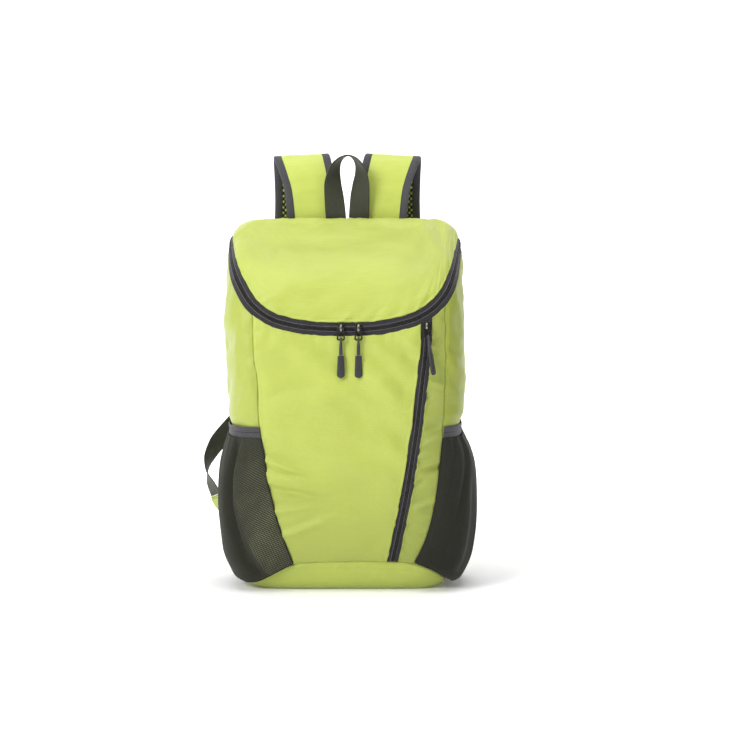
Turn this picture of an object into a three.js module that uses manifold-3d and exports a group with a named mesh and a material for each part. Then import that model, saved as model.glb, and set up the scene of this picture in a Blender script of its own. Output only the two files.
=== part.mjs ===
// A light packable backpack, filled and standing on its base.
// Front towards -Y, wearer's side towards +Y, +Z up, millimetres.
// The origin lies on the ground under the middle of the bag.
// The bag is a hollow shell of sewn cloth panels. Every panel is a patch of one smooth outer form, the
// "skin", between seams that are drawn on it, so panels that share a seam meet along the same points.
import * as THREE from "three";
import { mergeVertices } from "three/addons/utils/BufferGeometryUtils.js";
import Module from "manifold-3d";

const wasm = await Module();
wasm.setup();

// Driving sizes of the bag
const BAG_HEIGHT = 446;
const BAG_WIDTH = 284;
const FRONT_DEPTH = 80;
const BACK_DEPTH = 76;
const CLOTH_THICKNESS = 1.6;
const SEAM_GAP = 0.5;
const SEAT_GAP = 0.3;

// Sizes that shape the skin
const MIDDLE_HEIGHT = 205;
const BASE_SAG_DEPTH = 9;
const TOP_RISE = 18;
const LID_SLOPE_START = 356;
const LID_SLOPE_END = 74;
const SIDE_POWER = 8;
const FRONT_POWER = 3.2;
const BACK_POWER = 8;
const TOP_POWER = 12;
const BASE_POWER = 8;
const LID_POWER = 7;

// Zips
const MAIN_ZIP_WIDTH = 16.6;
const FRONT_ZIP_WIDTH = 13.2;
const COIL_WIDTH = 5;
const COIL_THICKNESS = 2.4;
const COIL_PROUD = 1.2;
const TAPE_THICKNESS = 1.1;
const TAPE_RECESS = 0.3;

// Mesh side pockets
const POCKET_TOP = 196;
const BAND_HEIGHT = 13;
const POCKET_WALL = 1.2;
const BAND_THICKNESS = 1.6;
const LEFT_POCKET_BULGE = 13;
const RIGHT_POCKET_BULGE = 16;
const POCKET_MOUTH = 4.6;
const POCKET_SAG_SHARE = 0.25;

// Shoulder straps, carrying loop and webbing
const STRAP_WIDTH = 66;
const STRAP_THICKNESS = 5;
const STRAP_ROOT_X = 0.291 * (BAG_WIDTH / 2);
const STRAP_ROOT_Y = 0.895 * BACK_DEPTH;
const STRAP_SHIFT = 1.2;
const BINDING_WIDTH = 10;
const BINDING_THICKNESS = 4;
const WEBBING_WIDTH = 25;
const WEBBING_THICKNESS = 1.4;
const WEBBING_TAIL = 62;
const LOOP_THICKNESS = 1.8;
const LOOP_ROOT_Y = 0.816 * BACK_DEPTH;
const LOOP_RISE = 78;
const LOOP_SPREAD = 36;
const TAB_THICKNESS = 2;
const TAB_WIDTH = 44;
const TAB_STANDOFF = 9;

// Ladder buckle
const BUCKLE_WIDTH = 35;
const BUCKLE_BAR = 3.4;
const BUCKLE_PITCH = 11;
const BUCKLE_SLOT = 26.6;
const BUCKLE_DROP = 24;

// Zip sliders and pulls
const SLIDER_LENGTH = 12;
const SLIDER_WIDTH = 9;
const SLIDER_THICKNESS = 2;
const LUG_THICKNESS = 1.6;
const LUG_RADIUS = 2.6;
const LUG_HOLE = 1.4;
const LUG_ROOT_DEPTH = 0.4;
const PIN_HEIGHT = 3.4;
const PULLER_LENGTH = 15;
const PULLER_TOP_WIDTH = 7;
const PULLER_BOTTOM_WIDTH = 10;
const PULLER_BAR = 1.5;
const CORD_DIAMETER = 1.7;
const CORD_DROP = 17;
const GRIP_LENGTH = 26;
const GRIP_TOP_WIDTH = 7.3;
const GRIP_BOTTOM_WIDTH = 9.4;
const GRIP_THICKNESS = 4;
const CORD_SPREAD_HEIGHT = 6;
const CORD_ENTRY_HEIGHT = 5;
const PULL_CLEARANCE = 2.4;
const FRONT_SLIDER_DROP = 7;

const HALF_WIDTH = BAG_WIDTH / 2;
const HALF_DEPTH = (FRONT_DEPTH + BACK_DEPTH) / 2;
const TURN = Math.PI / 180;

// Sections of the skin by height: shares of the half width to each side and of the two depths
const BODY_SECTIONS = [
  { height: 0.0, left: 0.9, right: 0.93, front: 0.93, back: 0.95 },
  { height: 0.04, left: 0.93, right: 0.95, front: 0.95, back: 0.96 },
  { height: 0.1, left: 0.975, right: 0.985, front: 0.97, back: 0.98 },
  { height: 0.25, left: 0.985, right: 0.99, front: 1.0, back: 1.0 },
  { height: 0.42, left: 0.96, right: 0.96, front: 1.0, back: 1.0 },
  { height: 0.48, left: 0.985, right: 0.985, front: 0.99, back: 1.0 },
  { height: 0.55, left: 1.0, right: 1.0, front: 0.98, back: 1.0 },
  { height: 0.7, left: 1.012, right: 0.995, front: 0.94, back: 0.99 },
  { height: 0.85, left: 1.03, right: 1.005, front: 0.9, back: 0.97 },
  { height: 1.0, left: 1.05, right: 1.05, front: 0.88, back: 0.96 },
];

// Centre line of the main zip from the left back corner round the front to the right back corner:
// x as a share of the half width, y of the half depth, z of the height
const MAIN_ZIP_LINE = [
  { x: -0.945, y: 0.85, z: 0.93 },
  { x: -0.965, y: 0.51, z: 0.905 },
  { x: -0.955, y: 0.24, z: 0.884 },
  { x: -0.92, y: -0.23, z: 0.845 },
  { x: -0.852, y: -0.59, z: 0.799 },
  { x: -0.76, y: -0.77, z: 0.756 },
  { x: -0.613, y: -0.87, z: 0.722 },
  { x: -0.447, y: -0.9, z: 0.706 },
  { x: -0.24, y: -0.91, z: 0.697 },
  { x: 0.0, y: -0.91, z: 0.695 },
  { x: 0.24, y: -0.91, z: 0.697 },
  { x: 0.454, y: -0.89, z: 0.709 },
  { x: 0.606, y: -0.86, z: 0.724 },
  { x: 0.732, y: -0.78, z: 0.749 },
  { x: 0.831, y: -0.65, z: 0.785 },
  { x: 0.894, y: -0.35, z: 0.83 },
  { x: 0.923, y: 0.06, z: 0.866 },
  { x: 0.945, y: 0.38, z: 0.89 },
  { x: 0.955, y: 0.64, z: 0.91 },
  { x: 0.945, y: 0.85, z: 0.93 },
];

// Seams that run down the front: x as a share of the half width at shares of the height
const LEFT_FRONT_SEAM = [
  { z: 0.74, x: -0.757 },
  { z: 0.62, x: -0.743 },
  { z: 0.56, x: -0.714 },
  { z: 0.44, x: -0.699 },
  { z: 0.36, x: -0.656 },
  { z: 0.295, x: -0.632 },
  { z: 0.23, x: -0.585 },
  { z: 0.165, x: -0.529 },
  { z: 0.075, x: -0.425 },
];
const RIGHT_FRONT_SEAM = [
  { z: 0.74, x: 0.825 },
  { z: 0.63, x: 0.829 },
  { z: 0.56, x: 0.823 },
  { z: 0.445, x: 0.813 },
  { z: 0.36, x: 0.79 },
  { z: 0.31, x: 0.776 },
  { z: 0.245, x: 0.748 },
  { z: 0.19, x: 0.713 },
  { z: 0.137, x: 0.664 },
  { z: 0.075, x: 0.572 },
];
const FRONT_ZIP_LINE = [
  { z: 0.72, x: 0.672 },
  { z: 0.65, x: 0.668 },
  { z: 0.6, x: 0.653 },
  { z: 0.56, x: 0.637 },
  { z: 0.51, x: 0.62 },
  { z: 0.43, x: 0.59 },
  { z: 0.3, x: 0.529 },
  { z: 0.21, x: 0.478 },
  { z: 0.14, x: 0.432 },
  { z: 0.08, x: 0.392 },
];

// Top edge of the bottom panel, as the front shows it: z as a share of the height at shares of the half width
const BOTTOM_FRONT_SEAM = [
  { x: -0.8, z: 0.02 },
  { x: -0.7, z: 0.029 },
  { x: -0.62, z: 0.042 },
  { x: -0.54, z: 0.056 },
  { x: -0.425, z: 0.073 },
  { x: -0.26, z: 0.079 },
  { x: 0.0, z: 0.082 },
  { x: 0.31, z: 0.082 },
  { x: 0.56, z: 0.077 },
  { x: 0.7, z: 0.061 },
  { x: 0.77, z: 0.046 },
  { x: 0.84, z: 0.024 },
];
const CORNER_LEFT = { x: -0.8, z: 0.02 };
const CORNER_RIGHT = { x: 0.84, z: 0.02 };
const SIDE_FOOT = { x: 0.845, z: 0.016 };
const BACK_FOOT = { x: 0.8, y: 0.8, z: 0.022 };

// Back corner seam: x as a share of the half width, y of the back depth, at shares of the height
const BACK_SEAM = [
  { z: 0.022, x: 0.8, y: 0.82 },
  { z: 0.14, x: 0.89, y: 0.86 },
  { z: 0.34, x: 0.9, y: 0.86 },
  { z: 0.68, x: 0.91, y: 0.86 },
  { z: 0.93, x: 0.945, y: 0.87 },
];
const TOP_SEAM_Y = 0.86;
const TOP_CORNER = { x: 0.84, y: 0.86, z: 0.985 };

// Soft folds of the front: centre as shares, length and width as shares of the half width,
// depth as a share of the cloth's thickness, turn in degrees from level
const FRONT_FOLDS = [
  { x: -0.42, z: 0.29, length: 0.42, width: 0.09, depth: 1.3, turn: -8 },
  { x: -0.38, z: 0.24, length: 0.42, width: 0.08, depth: -1.1, turn: -4 },
  { x: -0.5, z: 0.47, length: 0.45, width: 0.12, depth: -1.2, turn: 25 },
  { x: 0.1, z: 0.38, length: 0.6, width: 0.14, depth: 0.9, turn: -12 },
  { x: -0.05, z: 0.52, length: 0.65, width: 0.2, depth: 1.0, turn: 10 },
  { x: 0.0, z: 0.62, length: 0.6, width: 0.15, depth: -1.0, turn: 0 },
  { x: 0.72, z: 0.33, length: 0.14, width: 0.06, depth: -0.9, turn: 20 },
  { x: -0.35, z: 0.83, length: 0.5, width: 0.16, depth: 1.0, turn: 30 },
  { x: 0.4, z: 0.82, length: 0.5, width: 0.14, depth: 0.8, turn: -25 },
];

// Counts of cells along shared seams
const SIDE_FRONT_CELLS = 3;
const FRONT_CELLS = 8;
const WALL_ROWS = 14;
const LID_ROWS = 8;
const LID_EDGE_ROWS = 4;
const POCKET_COLUMNS = 11;
const POCKET_ROWS = 12;

// Places of the rows under the bag, close together where its front and back edges turn under
const FOOT_STOPS = [0, 0.1, 0.2, 0.32, 0.6, 0.85, 1];
// Places of the back's columns, close together at the corners of the top seam
const BACK_STOPS = [0, 1 / 28, 2 / 28, 4 / 28, 8 / 28, 0.5, 20 / 28, 24 / 28, 26 / 28, 27 / 28, 1];

const clamp = THREE.MathUtils.clamp;
const lerp = THREE.MathUtils.lerp;

// A smooth line through the rows of a table: the value of one column at a place in another
function smooth(table, key, column, place) {
  const falling = table[0][key] > table[table.length - 1][key];
  const rows = falling ? [...table].reverse() : table;
  const at = clamp(place, rows[0][key], rows[rows.length - 1][key]);
  let k = 0;
  while (k < rows.length - 2 && at > rows[k + 1][key]) k++;
  const slope = (a, b) => (rows[b][column] - rows[a][column]) / (rows[b][key] - rows[a][key]);
  const first = slope(Math.max(k - 1, 0), k + 1);
  const last = slope(k, Math.min(k + 2, rows.length - 1));
  const span = rows[k + 1][key] - rows[k][key];
  const t = (at - rows[k][key]) / span;
  const [t2, t3] = [t * t, t * t * t];
  return (
    rows[k][column] * (2 * t3 - 3 * t2 + 1) +
    first * span * (t3 - 2 * t2 + t) +
    rows[k + 1][column] * (3 * t2 - 2 * t3) +
    last * span * (t3 - t2)
  );
}

// The skin is where this measure is 1: it grows from inside outwards
function fullness(x, y, z) {
  const share = clamp(z / BAG_HEIGHT, 0, 1);
  const halfWidth = HALF_WIDTH * smooth(BODY_SECTIONS, "height", x < 0 ? "left" : "right", share);
  const front = FRONT_DEPTH * smooth(BODY_SECTIONS, "height", "front", share);
  const back = BACK_DEPTH * smooth(BODY_SECTIONS, "height", "back", share);
  const top = BAG_HEIGHT + TOP_RISE;
  const side = Math.pow(Math.abs(x) / halfWidth, SIDE_POWER);
  const depth = y < 0 ? Math.pow(-y / front, FRONT_POWER) : Math.pow(y / back, BACK_POWER);
  const rise =
    z > MIDDLE_HEIGHT
      ? Math.pow((z - MIDDLE_HEIGHT) / (top - MIDDLE_HEIGHT), TOP_POWER)
      : Math.pow((MIDDLE_HEIGHT - z) / (MIDDLE_HEIGHT + BASE_SAG_DEPTH), BASE_POWER);
  const run = LID_SLOPE_END + FRONT_DEPTH;
  const climb = top - LID_SLOPE_START;
  const reach = climb * FRONT_DEPTH + run * (LID_SLOPE_START - MIDDLE_HEIGHT);
  const slope = Math.max(0, (run * (z - MIDDLE_HEIGHT) - climb * y) / reach);
  return side + depth + rise + Math.pow(slope, LID_POWER);
}

// Folds that press the front in or out, in millimetres
function foldDepth(x, y, z) {
  if (y > 0) return 0;
  let depth = 0;
  for (const fold of FRONT_FOLDS) {
    const across = x - fold.x * HALF_WIDTH;
    const up = z - fold.z * BAG_HEIGHT;
    const [c, s] = [Math.cos(fold.turn * TURN), Math.sin(fold.turn * TURN)];
    const along = (across * c + up * s) / (fold.length * HALF_WIDTH);
    const over = (up * c - across * s) / (fold.width * HALF_WIDTH);
    depth += fold.depth * CLOTH_THICKNESS * Math.exp(-along * along - over * over);
  }
  return depth * Math.min(1, -y / (FRONT_DEPTH / 2));
}

function normalAt(p) {
  const d = 0.5;
  return new THREE.Vector3(
    fullness(p.x + d, p.y, p.z) - fullness(p.x - d, p.y, p.z),
    fullness(p.x, p.y + d, p.z) - fullness(p.x, p.y - d, p.z),
    fullness(p.x, p.y, p.z + d) - fullness(p.x, p.y, p.z - d),
  ).normalize();
}

// Moves a point onto the skin, straight away from an upright plate inside the bag
function skin(p) {
  const from = new THREE.Vector3(
    clamp(p.x, -HALF_WIDTH * 0.6, HALF_WIDTH * 0.6),
    BACK_DEPTH * 0.05,
    clamp(p.z, BAG_HEIGHT * 0.2, BAG_HEIGHT * 0.7),
  );
  const way = p.clone().sub(from).normalize();
  let [inside, outside] = [0, BAG_HEIGHT];
  for (let k = 0; k < 40; k++) {
    const middle = (inside + outside) / 2;
    const q = from.clone().addScaledVector(way, middle);
    if (fullness(q.x, q.y, q.z) < 1) inside = middle;
    else outside = middle;
  }
  const hit = from.clone().addScaledVector(way, inside);
  hit.addScaledVector(normalAt(hit), foldDepth(hit.x, hit.y, hit.z));
  if (hit.z < 0) {
    const share = from.z / (from.z - hit.z);
    hit.lerpVectors(from, hit, share);
    hit.z = 0;
  }
  return hit;
}

// The place on the front straight behind a spot of the front view
function onFront(x, z) {
  if (fullness(x, 0, z) >= 1) return skin(new THREE.Vector3(x, -FRONT_DEPTH, z));
  let [inside, outside] = [0, -2 * FRONT_DEPTH];
  for (let k = 0; k < 40; k++) {
    const middle = (inside + outside) / 2;
    if (fullness(x, middle, z) < 1) inside = middle;
    else outside = middle;
  }
  const hit = new THREE.Vector3(x, inside, z);
  return hit.addScaledVector(normalAt(hit), foldDepth(x, inside, z));
}

// Height of the skin over a place on the top
function topHeight(x, y) {
  let [inside, outside] = [MIDDLE_HEIGHT, BAG_HEIGHT + TOP_RISE];
  for (let k = 0; k < 40; k++) {
    const middle = (inside + outside) / 2;
    if (fullness(x, y, middle) < 1) inside = middle;
    else outside = middle;
  }
  return inside;
}

// A point at a share of the way along a list of points
function along(points, share) {
  const at = clamp(share, 0, 1) * (points.length - 1);
  const k = Math.min(Math.floor(at), points.length - 2);
  return points[k].clone().lerp(points[k + 1], at - k);
}

// The main zip: points on the skin beside its centre line
const mainZipCurve = new THREE.CatmullRomCurve3(
  MAIN_ZIP_LINE.map((r) =>
    skin(new THREE.Vector3(r.x * HALF_WIDTH, r.y * HALF_DEPTH, r.z * BAG_HEIGHT)),
  ),
);
function mainZip(share, offset) {
  const centre = skin(mainZipCurve.getPoint(share));
  const tangent = mainZipCurve.getTangent(share);
  const up = new THREE.Vector3().crossVectors(tangent, normalAt(centre)).normalize();
  if (up.z < 0) up.negate();
  return skin(centre.addScaledVector(up, offset));
}

// The place along the main zip whose lower edge lies at this x, within a stretch of it
function zipShareAt(x, offset) {
  let [low, high] = [0.1, 0.9];
  for (let k = 0; k < 30; k++) {
    const middle = (low + high) / 2;
    if (mainZip(middle, offset).x < x) low = middle;
    else high = middle;
  }
  return low;
}

// Seams down the front as functions of a share from the bottom seam up to the main zip
function frontSeam(table, offset) {
  const bottomZ = (x) => BAG_HEIGHT * smooth(BOTTOM_FRONT_SEAM, "x", "z", x / HALF_WIDTH);
  const seamX = (z) => {
    const step = 0.01;
    const share = z / BAG_HEIGHT;
    const lean =
      ((smooth(table, "z", "x", share + step) - smooth(table, "z", "x", share - step)) * HALF_WIDTH) /
      (2 * step * BAG_HEIGHT);
    return HALF_WIDTH * smooth(table, "z", "x", share) + offset * Math.hypot(1, lean);
  };
  let low = bottomZ(seamX(BAG_HEIGHT * table[table.length - 1].z));
  low = bottomZ(seamX(low));
  const topX = seamX(BAG_HEIGHT * 0.715);
  const share = zipShareAt(topX, -MAIN_ZIP_WIDTH / 2);
  const top = mainZip(share, -MAIN_ZIP_WIDTH / 2);
  const at = (t) => {
    if (t >= 1) return top.clone();
    const z = lerp(low, top.z, t);
    const x = seamX(z) + (topX - seamX(top.z)) * t ** 8;
    return onFront(x, z);
  };
  return { at, share };
}
const zipHalf = FRONT_ZIP_WIDTH / 2;
const coilHalf = COIL_WIDTH / 2;
const leftSeam = frontSeam(LEFT_FRONT_SEAM, 0);
const rightSeam = frontSeam(RIGHT_FRONT_SEAM, 0);
const frontZipInner = frontSeam(FRONT_ZIP_LINE, -zipHalf);
const frontZipOuter = frontSeam(FRONT_ZIP_LINE, zipHalf);

// Even steps from one value to another
const steps = (from, to, count) => Array.from({ length: count + 1 }, (_, k) => lerp(from, to, k / count));

// Places along the main zip where every panel's columns meet it
const sideCells = SIDE_FRONT_CELLS + FOOT_STOPS.length - 1;
const zipShares = [
  ...steps(0, leftSeam.share, sideCells),
  ...steps(leftSeam.share, frontZipInner.share, FRONT_CELLS).slice(1),
  frontZipOuter.share,
  rightSeam.share,
  ...steps(rightSeam.share, 1, sideCells).slice(1),
];
const zipEdge = (offset) => zipShares.map((s) => mainZip(s, offset));
const zipHalfWidth = MAIN_ZIP_WIDTH / 2;
const lowerZipEdge = zipEdge(-zipHalfWidth);
const upperZipEdge = zipEdge(zipHalfWidth);

// The bottom panel's edge
const frontCorner = (c) => onFront(c.x * HALF_WIDTH, c.z * BAG_HEIGHT);
const footPoint = (side) =>
  skin(
    new THREE.Vector3(side * BACK_FOOT.x * HALF_WIDTH, BACK_FOOT.y * BACK_DEPTH, BACK_FOOT.z * BAG_HEIGHT),
  );
function bottomFront(from, to, count) {
  return steps(from, to, count).map((x) =>
    onFront(x, BAG_HEIGHT * smooth(BOTTOM_FRONT_SEAM, "x", "z", x / HALF_WIDTH)),
  );
}
function sideFoot(corner, side) {
  const [a, b] = [frontCorner(corner), footPoint(side)];
  return FOOT_STOPS.map((t) => {
    if (t === 0) return a;
    if (t === 1) return b;
    const spot = { x: side * SIDE_FOOT.x * HALF_WIDTH, y: lerp(a.y, b.y, t), z: SIDE_FOOT.z * BAG_HEIGHT };
    return skin(new THREE.Vector3(spot.x, spot.y, spot.z));
  });
}
const seamFootX = (seam) => seam.at(0).x;
const leftFoot = sideFoot(CORNER_LEFT, -1);
const rightFoot = sideFoot(CORNER_RIGHT, 1);
const bottomLeft = bottomFront(CORNER_LEFT.x * HALF_WIDTH, seamFootX(leftSeam), SIDE_FRONT_CELLS);
const bottomMiddle = [
  ...bottomFront(seamFootX(leftSeam), seamFootX(frontZipInner), FRONT_CELLS),
  frontZipOuter.at(0),
];
const bottomRight = bottomFront(seamFootX(rightSeam), CORNER_RIGHT.x * HALF_WIDTH, SIDE_FRONT_CELLS);
bottomLeft[0] = leftFoot[0];
bottomRight[SIDE_FRONT_CELLS] = rightFoot[0];
const bottomFrontEdge = [...bottomLeft, ...bottomMiddle.slice(1), ...bottomRight];

function backSeam(side, t, top) {
  const z = lerp(BACK_SEAM[0].z, top.z / BAG_HEIGHT, t);
  return skin(
    new THREE.Vector3(
      side * HALF_WIDTH * smooth(BACK_SEAM, "z", "x", z),
      BACK_DEPTH * smooth(BACK_SEAM, "z", "y", z),
      z * BAG_HEIGHT,
    ),
  );
}
function backEdge(side) {
  const top = side < 0 ? lowerZipEdge[0] : lowerZipEdge[lowerZipEdge.length - 1];
  return steps(0, 1, WALL_ROWS).map((t) => {
    if (t === 0) return footPoint(side);
    return t === 1 ? top : backSeam(side, t, top);
  });
}
const backEdges = { left: backEdge(-1), right: backEdge(1) };

// A point inside four edges, each a list of points, moved onto the skin
function patchPoint(edges, s, t) {
  const { bottom, top, left, right } = edges;
  const [b, u, l, r] = [along(bottom, s), along(top, s), along(left, t), along(right, t)];
  if (t <= 0) return b;
  if (t >= 1) return u;
  if (s <= 0) return l;
  if (s >= 1) return r;
  const p = b.multiplyScalar(1 - t).addScaledVector(u, t);
  p.addScaledVector(l, 1 - s).addScaledVector(r, s);
  p.addScaledVector(bottom[0], -(1 - s) * (1 - t)).addScaledVector(bottom[bottom.length - 1], -s * (1 - t));
  p.addScaledVector(top[0], -(1 - s) * t).addScaledVector(top[top.length - 1], -s * t);
  return skin(p);
}

// A grid of points, drawn in from its edges by half of the seam's gap
function drawnIn(grid, gap) {
  const out = grid.map((row) => row.map((p) => p.clone()));
  const [rows, columns] = [grid.length, grid[0].length];
  const pull = (j, i, towardsJ, towardsI) => {
    const way = grid[towardsJ][towardsI].clone().sub(grid[j][i]);
    out[j][i].addScaledVector(way.normalize(), gap / 2);
  };
  for (let i = 0; i < columns; i++) {
    pull(0, i, 1, i);
    pull(rows - 1, i, rows - 2, i);
  }
  for (let j = 0; j < rows; j++) {
    pull(j, 0, j, 1);
    pull(j, columns - 1, j, columns - 2);
  }
  return out;
}

// One closed body between an outer and an inner grid of points
function wallBetween(outer, inner) {
  const [rows, columns] = [outer.length, outer[0].length];
  const positions = [];
  for (const grid of [outer, inner])
    for (const row of grid) for (const p of row) positions.push(p.x, p.y, p.z);
  const outerAt = (j, i) => j * columns + i;
  const innerAt = (j, i) => rows * columns + outerAt(j, i);
  const faces = [];
  const quad = (a, b, c, d) => faces.push(a, b, c, a, c, d);
  for (let j = 0; j < rows - 1; j++)
    for (let i = 0; i < columns - 1; i++) {
      quad(outerAt(j, i), outerAt(j, i + 1), outerAt(j + 1, i + 1), outerAt(j + 1, i));
      quad(innerAt(j, i), innerAt(j + 1, i), innerAt(j + 1, i + 1), innerAt(j, i + 1));
    }
  for (let i = 0; i < columns - 1; i++) {
    quad(outerAt(0, i), innerAt(0, i), innerAt(0, i + 1), outerAt(0, i + 1));
    quad(outerAt(rows - 1, i + 1), innerAt(rows - 1, i + 1), innerAt(rows - 1, i), outerAt(rows - 1, i));
  }
  for (let j = 0; j < rows - 1; j++) {
    quad(outerAt(j + 1, 0), innerAt(j + 1, 0), innerAt(j, 0), outerAt(j, 0));
    const [low, high, end] = [j, j + 1, columns - 1];
    quad(outerAt(low, end), innerAt(low, end), innerAt(high, end), outerAt(high, end));
  }
  return facingOut(positions, faces);
}

function facingOut(positions, faces) {
  let volume = 0;
  const at = (k) => new THREE.Vector3().fromArray(positions, 3 * k);
  for (let k = 0; k < faces.length; k += 3)
    volume += at(faces[k]).dot(at(faces[k + 1]).cross(at(faces[k + 2])));
  if (volume < 0)
    for (let k = 0; k < faces.length; k += 3) [faces[k + 1], faces[k + 2]] = [faces[k + 2], faces[k + 1]];
  const geometry = new THREE.BufferGeometry();
  geometry.setAttribute("position", new THREE.Float32BufferAttribute(positions, 3));
  geometry.setIndex(faces);
  geometry.computeVertexNormals();
  return geometry;
}

// A wall that lies on the skin: a grid of skin points, lifted and given a thickness inwards
function skinWall(grid, thickness, lift = 0, gap = SEAM_GAP) {
  const drawn = drawnIn(grid, gap);
  const moved = (by) =>
    drawn.map((row) =>
      row.map((p) => {
        const q = p.clone().addScaledVector(normalAt(p), by);
        if (p.z <= 0) q.z = p.z - Math.min(0, by);
        return q;
      }),
    );
  return wallBetween(lift === 0 ? drawn : moved(lift), moved(lift - thickness));
}

const patchGrid = (edges, columns, rows) =>
  rows.map((t) => columns.map((s) => patchPoint(edges, s, t)));
const even = (count) => steps(0, 1, count);
const clothPatch = (edges, columns, rows) => skinWall(patchGrid(edges, columns, rows), CLOTH_THICKNESS);

// Which way a ribbon's width points: its lean from level in the front view and its turn out of that view
function facing(lean = 0, turn = 0) {
  const [a, b] = [lean * TURN, turn * TURN];
  return new THREE.Vector3(Math.cos(a) * Math.cos(b), Math.sin(b), Math.sin(a) * Math.cos(b));
}

// A band, strap or tape: a section carried along a smooth path. Each row holds a place, a width,
// a thickness and the way the width points, as a lean and a turn or as a direction.
function ribbon(rows, stations, section) {
  const curve = new THREE.CatmullRomCurve3(rows.map((r) => new THREE.Vector3(r.x, r.y, r.z)));
  const ways = rows.map((r) => r.across ?? facing(r.lean, r.turn));
  const rings = [];
  for (let k = 0; k <= stations; k++) {
    const t = k / stations;
    const centre = curve.getPoint(t);
    const tangent = curve.getTangent(t);
    const at = t * (rows.length - 1);
    const row = Math.min(Math.floor(at), rows.length - 2);
    const between = (column) => lerp(rows[row][column], rows[row + 1][column], at - row);
    const across = ways[row].clone().lerp(ways[row + 1], at - row).normalize();
    const out = new THREE.Vector3().crossVectors(tangent, across).normalize();
    rings.push(
      section(between("width"), between("thickness")).map(([a, n]) =>
        centre.clone().addScaledVector(across, a).addScaledVector(out, n),
      ),
    );
  }
  return tubeOf(rings);
}

// A closed body through rings of points
function tubeOf(rings) {
  const sides = rings[0].length;
  const positions = rings.flat().flatMap((p) => [p.x, p.y, p.z]);
  const faces = [];
  for (let k = 0; k < rings.length - 1; k++)
    for (let i = 0; i < sides; i++) {
      const [a, b] = [k * sides + i, k * sides + ((i + 1) % sides)];
      faces.push(a, b, b + sides, a, b + sides, a + sides);
    }
  const last = (rings.length - 1) * sides;
  for (let i = 1; i < sides - 1; i++) faces.push(0, i + 1, i, last, last + i, last + i + 1);
  return facingOut(positions, faces);
}

const flatSection = (width, thickness) => [
  [-width / 2, -thickness / 2],
  [width / 2, -thickness / 2],
  [width / 2, thickness / 2],
  [-width / 2, thickness / 2],
];

// The padded core of a strap: thick in the middle, thin where its bindings take over
function paddedSection(width, thickness) {
  const core = width / 2 - BINDING_WIDTH - SEAT_GAP;
  const edge = Math.min(thickness, BINDING_THICKNESS) / 2;
  return [
    [-core, -edge],
    [-core * 0.6, -thickness / 2],
    [core * 0.6, -thickness / 2],
    [core, -edge],
    [core, edge],
    [core * 0.6, thickness / 2],
    [-core * 0.6, thickness / 2],
    [-core, edge],
  ];
}
const bindingSection = (side) => (width, thickness) => {
  const edge = Math.min(thickness, BINDING_THICKNESS) / 2;
  const [inner, outer] = [width / 2 - BINDING_WIDTH, width / 2];
  return [
    [side * inner, -edge],
    [side * outer, -edge],
    [side * outer, edge],
    [side * inner, edge],
  ];
};

// Joins closed geometries into one body
function joined(geometries) {
  const solids = geometries.map((source) => {
    const bare = source.clone();
    for (const name of Object.keys(bare.attributes)) if (name !== "position") bare.deleteAttribute(name);
    const merged = mergeVertices(bare, 1e-4);
    return new wasm.Manifold(
      new wasm.Mesh({
        numProp: 3,
        vertProperties: merged.attributes.position.array,
        triVerts: new Uint32Array(merged.index.array),
      }),
    );
  });
  const mesh = solids.reduce((a, b) => a.add(b)).getMesh();
  const geometry = new THREE.BufferGeometry();
  geometry.setAttribute("position", new THREE.BufferAttribute(mesh.vertProperties, 3));
  geometry.setIndex(new THREE.BufferAttribute(mesh.triVerts, 1));
  geometry.computeVertexNormals();
  return geometry;
}

// Finishes, as colour, roughness and metalness
const FINISHES = {
  lime: { color: 0xc3d552, roughness: 0.75, metalness: 0 },
  limeSide: { color: 0xb9c94c, roughness: 0.75, metalness: 0 },
  zipTape: { color: 0x3c3a3b, roughness: 0.85, metalness: 0 },
  zipCoil: { color: 0x2c2b2c, roughness: 0.5, metalness: 0 },
  pocketMesh: { color: 0x44463a, roughness: 0.9, metalness: 0 },
  binding: { color: 0x66666a, roughness: 0.85, metalness: 0 },
  webbing: { color: 0x3b3d33, roughness: 0.85, metalness: 0 },
  gunmetal: { color: 0x55554f, roughness: 0.35, metalness: 0.9 },
  rubber: { color: 0x3a3a42, roughness: 0.6, metalness: 0 },
  plastic: { color: 0x26272a, roughness: 0.5, metalness: 0 },
};
const materials = Object.fromEntries(
  Object.entries(FINISHES).map(([name, finish]) => [name, new THREE.MeshStandardMaterial(finish)]),
);
const backpack = new THREE.Group();
function add(name, geometry, finish, parent = backpack) {
  const mesh = new THREE.Mesh(geometry, materials[finish]);
  mesh.name = name;
  parent.add(mesh);
  return mesh;
}

// Panels of the bag
const seamPoints = (seam) => even(WALL_ROWS).map((t) => seam.at(t));
const leftSeamPoints = seamPoints(leftSeam);
const rightSeamPoints = seamPoints(rightSeam);
const zipInnerPoints = seamPoints(frontZipInner);
const zipOuterPoints = seamPoints(frontZipOuter);
const frontStart = sideCells;
const frontEnd = frontStart + FRONT_CELLS;

const frontEdges = {
  bottom: bottomMiddle.slice(0, FRONT_CELLS + 1),
  top: lowerZipEdge.slice(frontStart, frontEnd + 1),
  left: leftSeamPoints,
  right: zipInnerPoints,
};
add("front_panel", clothPatch(frontEdges, even(FRONT_CELLS), even(WALL_ROWS)), "lime");

const stripEdges = {
  bottom: [zipOuterPoints[0], rightSeamPoints[0]],
  top: [zipOuterPoints[WALL_ROWS], rightSeamPoints[WALL_ROWS]],
  left: zipOuterPoints,
  right: rightSeamPoints,
};
add("front_side_strip", clothPatch(stripEdges, even(1), even(WALL_ROWS)), "lime");

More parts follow.
